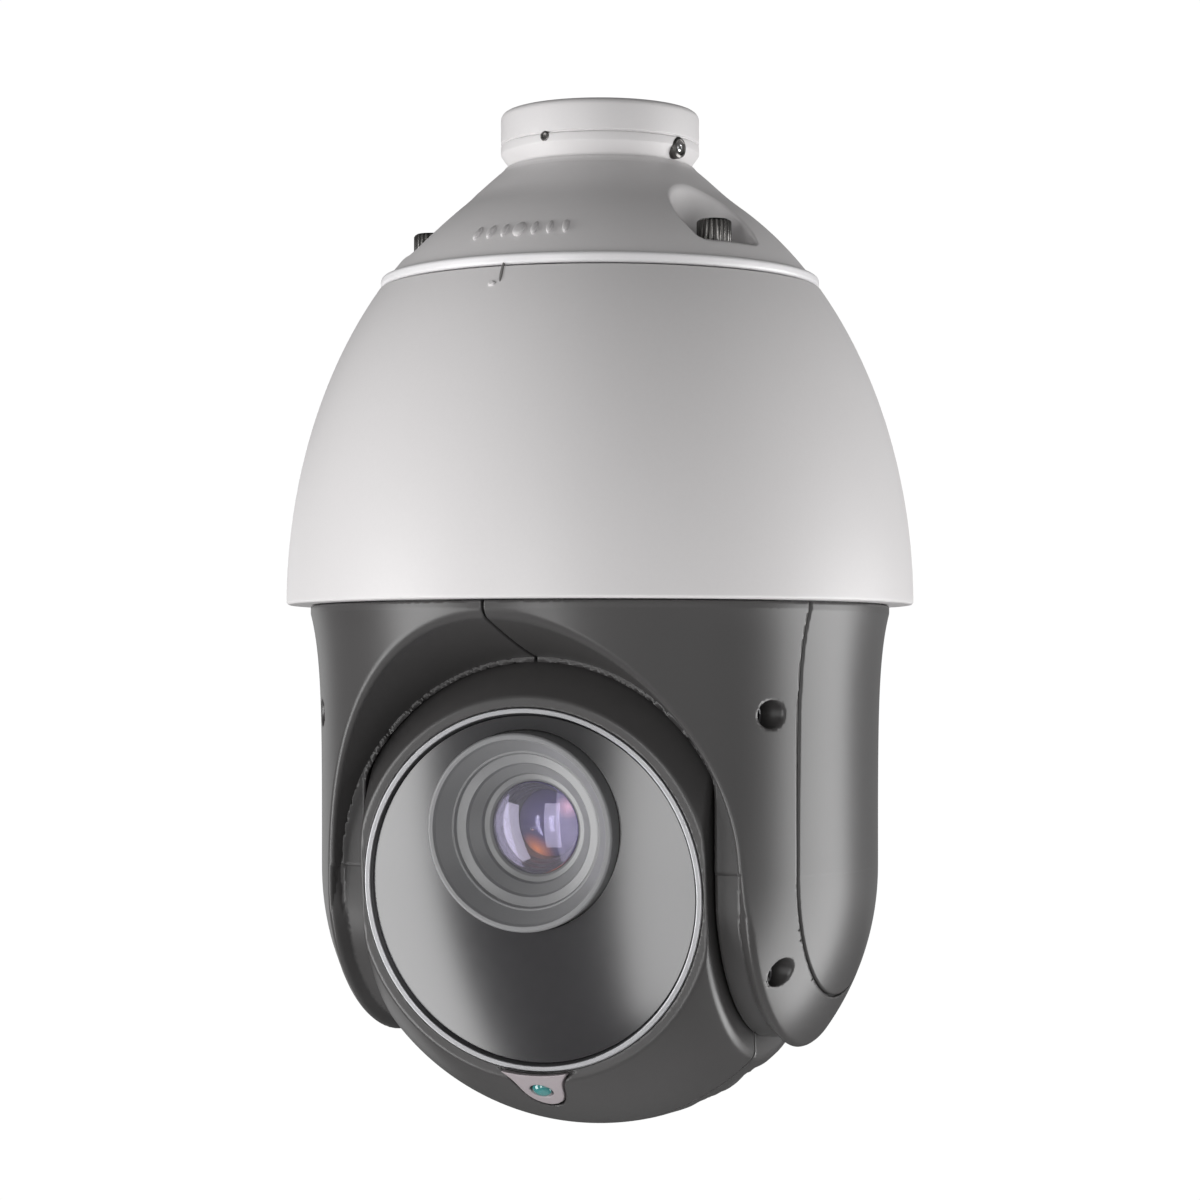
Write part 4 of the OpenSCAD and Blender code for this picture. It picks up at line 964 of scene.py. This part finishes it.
def tab_field(x, y, z):
    """The light sensor's tab, curved with the ball, with the sensor's hole through it."""
    out = np.sqrt(x * x + y * y + z * z)
    tab = meet(meet(tab_outline(x, z), out - BALL_R - 0.15, 0.3), BALL_R - 1.75 - out, 0.1)
    ahead = y * -math.cos(SENSOR_TILT) + z * -math.sin(SENSOR_TILT)
    hole = np.sqrt(np.maximum(out ** 2 - ahead ** 2, 0)) - 3.25
    return carve(np.maximum(tab, y + SPLIT_Y), hole, 0.25)


class DOME_OT_ball(bpy.types.Operator):
    """Build the two parts of the ball"""
    bl_idname = "dome.ball"
    bl_label = "Ball"

    def execute(self, context):
        plastic = charcoal("ball_charcoal", scene_settings("head").plastic)
        front = placed(skin(ball_front_field, (-50.5, -50.5, -70), (50.5, -14, 70), 0.62), HEAD)
        piece("ball_shell_front", [front], "head", plastic, "ball_paint", "ball_front")
        rear = placed(skin(ball_rear_field, (-50.5, -17, -72), (50.5, 72, 72), 0.85), HEAD)
        piece("ball_shell_rear", [rear], "head", plastic, "ball_paint", "ball_rear")
        return {"FINISHED"}


class DOME_OT_window(bpy.types.Operator):
    """Build the crowned front window and its rim"""
    bl_idname = "dome.window"
    bl_label = "Front Window"

    def execute(self, context):
        head = scene_settings("head")
        crown = head.window_crown / MM
        flat = FACE_Y - 0.2
        rim = [(RIM_R - 0.05, SEAT_Y + 0.1, 0.1), (RIM_R - 0.05, FACE_Y + 0.45, 0.45),
               (WINDOW_R + 0.7, FACE_Y + 0.45, 0.5), (WINDOW_R + 0.05, SEAT_Y + 0.1, 0.1)]
        metal = finish("rim_metal_satin", (0.34, 0.34, 0.35), 0.36, 2200.0, 3e-6, 0.05, Metallic=1.0)
        piece("window_bezel", [turned(rim, 224, FACE_AXIS)], "head", metal, "rim_metal", "window_rim")
        around, rows = int(256 / COARSE), 36
        a = 2 * np.pi * np.arange(around) / around
        ring = np.stack([np.cos(a), np.sin(a)], -1)
        edge, hole = WINDOW_R * ring, (HOOD_R + 0.35) * ring + (0, LENS_UP)
        points, normals = [], []
        curve = WINDOW_R ** 2 / (2 * crown) if crown > 0 else 1e6
        for t in np.arange(rows + 1) / rows:
            p = hole * (1 - t) + edge * t
            high = (WINDOW_R ** 2 - (p ** 2).sum(1)) / (2 * curve)
            points.append(np.column_stack([p, flat - 0.6 + high]))
            n = np.column_stack([p / curve, np.ones(around)])
            normals.append(n / np.linalg.norm(n, axis=1, keepdims=True))
        points += [np.column_stack([p, np.full(around, SEAT_Y + 0.15)]) for p in (edge, hole)]
        normals += [np.column_stack([side * ring, np.zeros(around)]) for side in (1, -1)]
        quads = band_quads(rows + 4, around) % ((rows + 3) * around)
        glass = finish("window_polycarbonate", head.window, 0.17, 300.0, 3e-6, 0.10, 0.6, IOR=1.72,
                       rough_swing=0.02)
        part = placed((np.concatenate(points), quads, np.concatenate(normals)), FACE_AXIS)
        piece("window_pane", [part], "head", glass, "window_glass", "front_window")
        return {"FINISHED"}


class DOME_OT_lens(bpy.types.Operator):
    """Build the lens hood, its stepped rings and the coated lens elements"""
    bl_idname = "dome.lens"
    bl_label = "Lens"

    def execute(self, context):
        place = LENS_AXIS @ Matrix.Translation((0, 0, HOOD_FRONT))
        outline = [(HOOD_R, -15, 0.2), (HOOD_R, 0, 0.8), (24.4, 0, 0.3), (23.9, -0.9, 0.3), (20.9, -4.6, 0.25),
                   (20.4, -4.6, 0.3), (20.0, -5.6, 0.25), (17.6, -6.3, 0.2), (17.1, -7.2, 0.2), (14.6, -9.6, 0.2),
                   (14.2, -10.6, 0.2), (12.9, -11, 0.3), (12.3, -11.6, 0.2), (12.3, -15, 0.2)]
        # The hood's lighter grey is partly painted sheen.
        piece("hood_ring", [turned(outline, 224, place)], "head", black_anodised(), "hood_black", "lens_hood")
        ring = [(12.25, -23, 0.1), (12.25, -12.4, 0.1), (11.5, -12.4, 0.2), (11.3, -13.4, 0.2), (10.7, -13.9, 0.15),
                (10.4, -15.2, 0.15), (9.7, -16.0, 0.15), (9.4, -17.4, 0.15), (8.8, -18.2, 0.15), (8.6, -20.2, 0.15),
                (8.6, -23, 0.1)]
        piece("lens_steps", [turned(ring, 192, place)], "head",
              black_anodised("ring_anodised", (0.07, 0.07, 0.072), 0.28), "hood_black", "lens_ring")
        tint = scene_settings("head").coating
        coated = finish("coated_lens_glass", tint, 0.04, 200.0, 1e-6, 0.05, 0.3, rough_swing=0.01, IOR=1.9,
                        Specular_Tint=(0.78, 0.74, 1.0, 1.0), Coat_Weight=0.6, Coat_Roughness=0.02)
        dome = [(r, -22.4 + 5.2 * (1 - (r / 9.4) ** 2)) for r in np.linspace(8.5, 0.03, 24)]
        inner = [(0.03, -23.5, 0), (8.5, -23.5, 0.1)] + dome
        # Two painted glints, orange and pink, glow on the inner lens in place of reflections inside it.
        paint_glint(coated, place @ Vector((-3.6, -6.6, -20.4)), 5.2, (1.0, 0.34, 0.12))
        paint_glint(coated, place @ Vector((5.4, 4.2, -20.0)), 3.6, (0.80, 0.40, 0.48))
        piece("inner_lens", [turned(inner, 160, place)], "head", coated, "lens_glass", "front_element")
        glass = finish("coated_front_glass", (0.86, 0.84, 0.95), 0.02, 200.0, 5e-7, 0.03, 0.3, IOR=1.6,
                       rough_swing=0.006, Transmission_Weight=0.92, Specular_Tint=(0.80, 0.74, 1.0, 1.0))
        curve = lambda r, rise: rise * (1 - (r / 12.2) ** 2)
        back = [(r, -12.3 + curve(r, 1.9)) for r in np.linspace(0.03, 12.2, 18)]
        face = [(r, -11.5 + curve(r, 2.6)) for r in np.linspace(12.2, 0.03, 24)]
        piece("front_glass", [turned(back + face, 160, place)], "head", glass, "lens_glass")
        return {"FINISHED"}


class DOME_OT_sensor(bpy.types.Operator):
    """Build the light sensor's tab and its tinted dome"""
    bl_idname = "dome.sensor"
    bl_label = "Light Sensor"

    def execute(self, context):
        head = scene_settings("head")
        tab = placed(skin(tab_field, (-20, -58, -62), (20, -28, -38), 0.36), HEAD)
        grey = finish("tab_satin_grey", head.tab, 0.38, 1200.0, 1e-5, 0.05, wear=0.2, IOR=1.5)
        piece("sensor_bezel", [tab], "head", grey, "tab_plastic", "sensor_tab")
        place = HEAD @ Matrix.Rotation(SENSOR_TILT, 4, "X") @ Matrix.Rotation(math.pi / 2, 4, "X") \
            @ Matrix.Translation((0, 0, BALL_R - 1.0))
        bead = [(0.02, -0.3, 0), (2.75, -0.3, 0.1)] + [(2.75 * math.cos(t), 0.1 + 1.9 * math.sin(t))
                                                     for t in np.linspace(0.1, math.pi / 2 - 0.01, 14)]
        teal = finish("tinted_sensor_dome", head.sensor, 0.08, 400.0, 2e-6, 0.1, rough_swing=0.02, IOR=1.7,
                      Coat_Weight=0.8, Coat_Roughness=0.03)
        piece("sensor_bead", [turned(bead, 96, place)], "head", teal, "sensor_lens", "light_sensor")
        return {"FINISHED"}


class DOME_OT_inner_parts(bpy.types.Operator):
    """Give every CAD piece that still shows, or shows when the camera comes apart, its own finish"""
    bl_idname = "dome.inner_parts"
    bl_label = "Inner Parts"

    def execute(self, context):
        slots = {row["node"]: row["material_slot"] for row in frame["record"]["subparts"]}
        for name, obj in frame["nodes"].items():
            if obj.hide_render or slots[name] not in SLOT_FINISHES:
                continue
            material = finish(**SLOT_FINISHES[slots[name]])
            if not obj.material_slots:
                obj.data.materials.append(material)
            for slot in obj.material_slots:
                slot.material = material
        return {"FINISHED"}


# ---- studio

def softbox(name, azimuth, elevation, away, size, radiance):
    """A rectangular area light that looks at the middle of the object; away and size are in metres."""
    a, e = math.radians(azimuth), math.radians(elevation)
    out = Vector((math.sin(a) * math.cos(e), -math.cos(a) * math.cos(e), math.sin(e)))
    data = bpy.data.lights.new(name, "AREA")
    data.shape = "RECTANGLE"
    data.size, data.size_y = size
    data.energy = radiance * math.pi * size[0] * size[1]
    obj = bpy.data.objects.new(name, data)
    obj.location = Vector((0, 0, LIGHTS_AIM_Z)) + out * away
    obj.rotation_euler = (-out).to_track_quat("-Z", "Y").to_euler()
    bpy.context.scene.collection.objects.link(obj)


class DOME_OT_studio(bpy.types.Operator):
    """Set up the camera, softboxes, pale floor and white surround"""
    bl_idname = "dome.studio"
    bl_label = "Studio"

    def execute(self, context):
        studio = scene_settings("studio")
        scene = context.scene
        data = bpy.data.cameras.new("studio_camera")
        data.lens, data.sensor_width = CAMERA_LENS, CAMERA_SENSOR
        camera = bpy.data.objects.new("studio_camera", data)
        camera.location = Matrix.Rotation(studio.azimuth, 3, "Z") @ Vector((0, -studio.distance, studio.height))
        camera.rotation_euler = (CAMERA_PITCH, 0, studio.azimuth)
        scene.collection.objects.link(camera)
        scene.camera = camera
        scene.view_settings.view_transform = "Standard"

        key = studio.key
        softbox("right_softbox", 118, -18, 1.25, (0.95, 1.1), key * 1.1)
        softbox("left_softbox", -51, -16, 1.3, (0.66, 1.2), key * 1.15)
        softbox("front_softbox", -1, -10, 1.5, (0.42, 1.2), key * 1.0)
        softbox("left_back_softbox", -128, -10, 1.5, (0.6, 1.1), key * 0.12)
        softbox("fill_softbox", 42, -4, 1.7, (1.9, 1.7), 0.55)

        world = bpy.data.worlds.new("white_studio")
        world.use_nodes = True
        scene.world = world
        tree = world.node_tree
        background = tree.nodes["Background"].inputs
        background["Color"].default_value = (1, 1, 1, 1)
        up = add_node(tree, "SeparateXYZ", "Z", Vector=add_node(tree, "TexCoord", "Generated"))
        ramp = tree.nodes.new("ShaderNodeMapRange")
        wire(up, ramp.inputs["Value"])
        for name, value in (("From Min", -0.3), ("From Max", 0.9), ("To Min", 0.34), ("To Max", 0.03)):
            ramp.inputs[name].default_value = value
        seen = add_node(tree, "LightPath", "Is Camera Ray")
        wire((seen * WHITE).math("MAXIMUM", Signal(ramp.outputs["Result"])), background["Strength"])
        self.floor(studio)
        return {"FINISHED"}

    def floor(self, studio):
        """A wide round floor with a faint mottle, white where the camera sees it."""
        around, rings = 96, 10
        a = 2 * np.pi * np.arange(around) / around
        radii = FLOOR_R * (np.arange(1, rings + 1) / rings) ** 1.5
        points = [(0.0, 0.0, FLOOR_Z)] + [(r * math.cos(t), r * math.sin(t), FLOOR_Z) for r in radii for t in a]
        faces = [(0, 1 + i, 1 + (i + 1) % around) for i in range(around)] + band_quads(rings, around, 1).tolist()
        floor = mesh_object("studio_floor", [(np.array(points), faces)])
        material = finish("pale_floor", studio.floor, 0.6, 40.0, 0.0001, 0.02, 0.3)
        tree = material.node_tree
        blend = tree.nodes.new("ShaderNodeMixShader")
        for slot, signal in zip(blend.inputs, (add_node(tree, "LightPath", "Is Camera Ray"),
                                               Signal(tree.nodes["Principled BSDF"].outputs["BSDF"]),
                                               add_node(tree, "Emission", Strength=WHITE))):
            wire(signal, slot)
        wire(Signal(blend.outputs[0]), tree.nodes["Material Output"].inputs["Surface"])
        floor.data.materials.append(material)
        return floor


# ---- add-on

SETTINGS = {"housing": HousingSettings, "yoke": YokeSettings, "head": HeadSettings, "studio": StudioSettings}
OPERATORS = (DOME_OT_collar, DOME_OT_cap, DOME_OT_trim, DOME_OT_shell, DOME_OT_cap_screws, DOME_OT_collar_screws,
             DOME_OT_yoke, DOME_OT_covers, DOME_OT_arm_screws, DOME_OT_ball, DOME_OT_window, DOME_OT_lens,
             DOME_OT_sensor, DOME_OT_inner_parts, DOME_OT_studio)


class DOME_PT_pieces(bpy.types.Panel):
    """Sidebar panel with the settings and one button for each piece"""
    bl_idname = "DOME_PT_pieces"
    bl_label = "Dome Camera"
    bl_space_type = "VIEW_3D"
    bl_region_type = "UI"
    bl_category = "Dome Camera"

    def draw(self, context):
        for key in SETTINGS:
            box = self.layout.box()
            group = getattr(context.scene, "dome_" + key)
            for name in group.bl_rna.properties.keys():
                if name not in ("rna_type", "name"):
                    box.prop(group, name)
        for operator in OPERATORS:
            self.layout.operator(operator.bl_idname)


def register():
    for cls in (*SETTINGS.values(), *OPERATORS, DOME_PT_pieces):
        bpy.utils.register_class(cls)
    for key, cls in SETTINGS.items():
        setattr(bpy.types.Scene, "dome_" + key, bpy.props.PointerProperty(type=cls))


def unregister():
    for key in SETTINGS:
        delattr(bpy.types.Scene, "dome_" + key)
    for cls in (DOME_PT_pieces, *OPERATORS[::-1], *SETTINGS.values()):
        bpy.utils.unregister_class(cls)


def main():
    register()
    for operator in OPERATORS:
        group, name = operator.bl_idname.split(".")
        getattr(getattr(bpy.ops, group), name)()


if __name__ == "__main__":
    main()
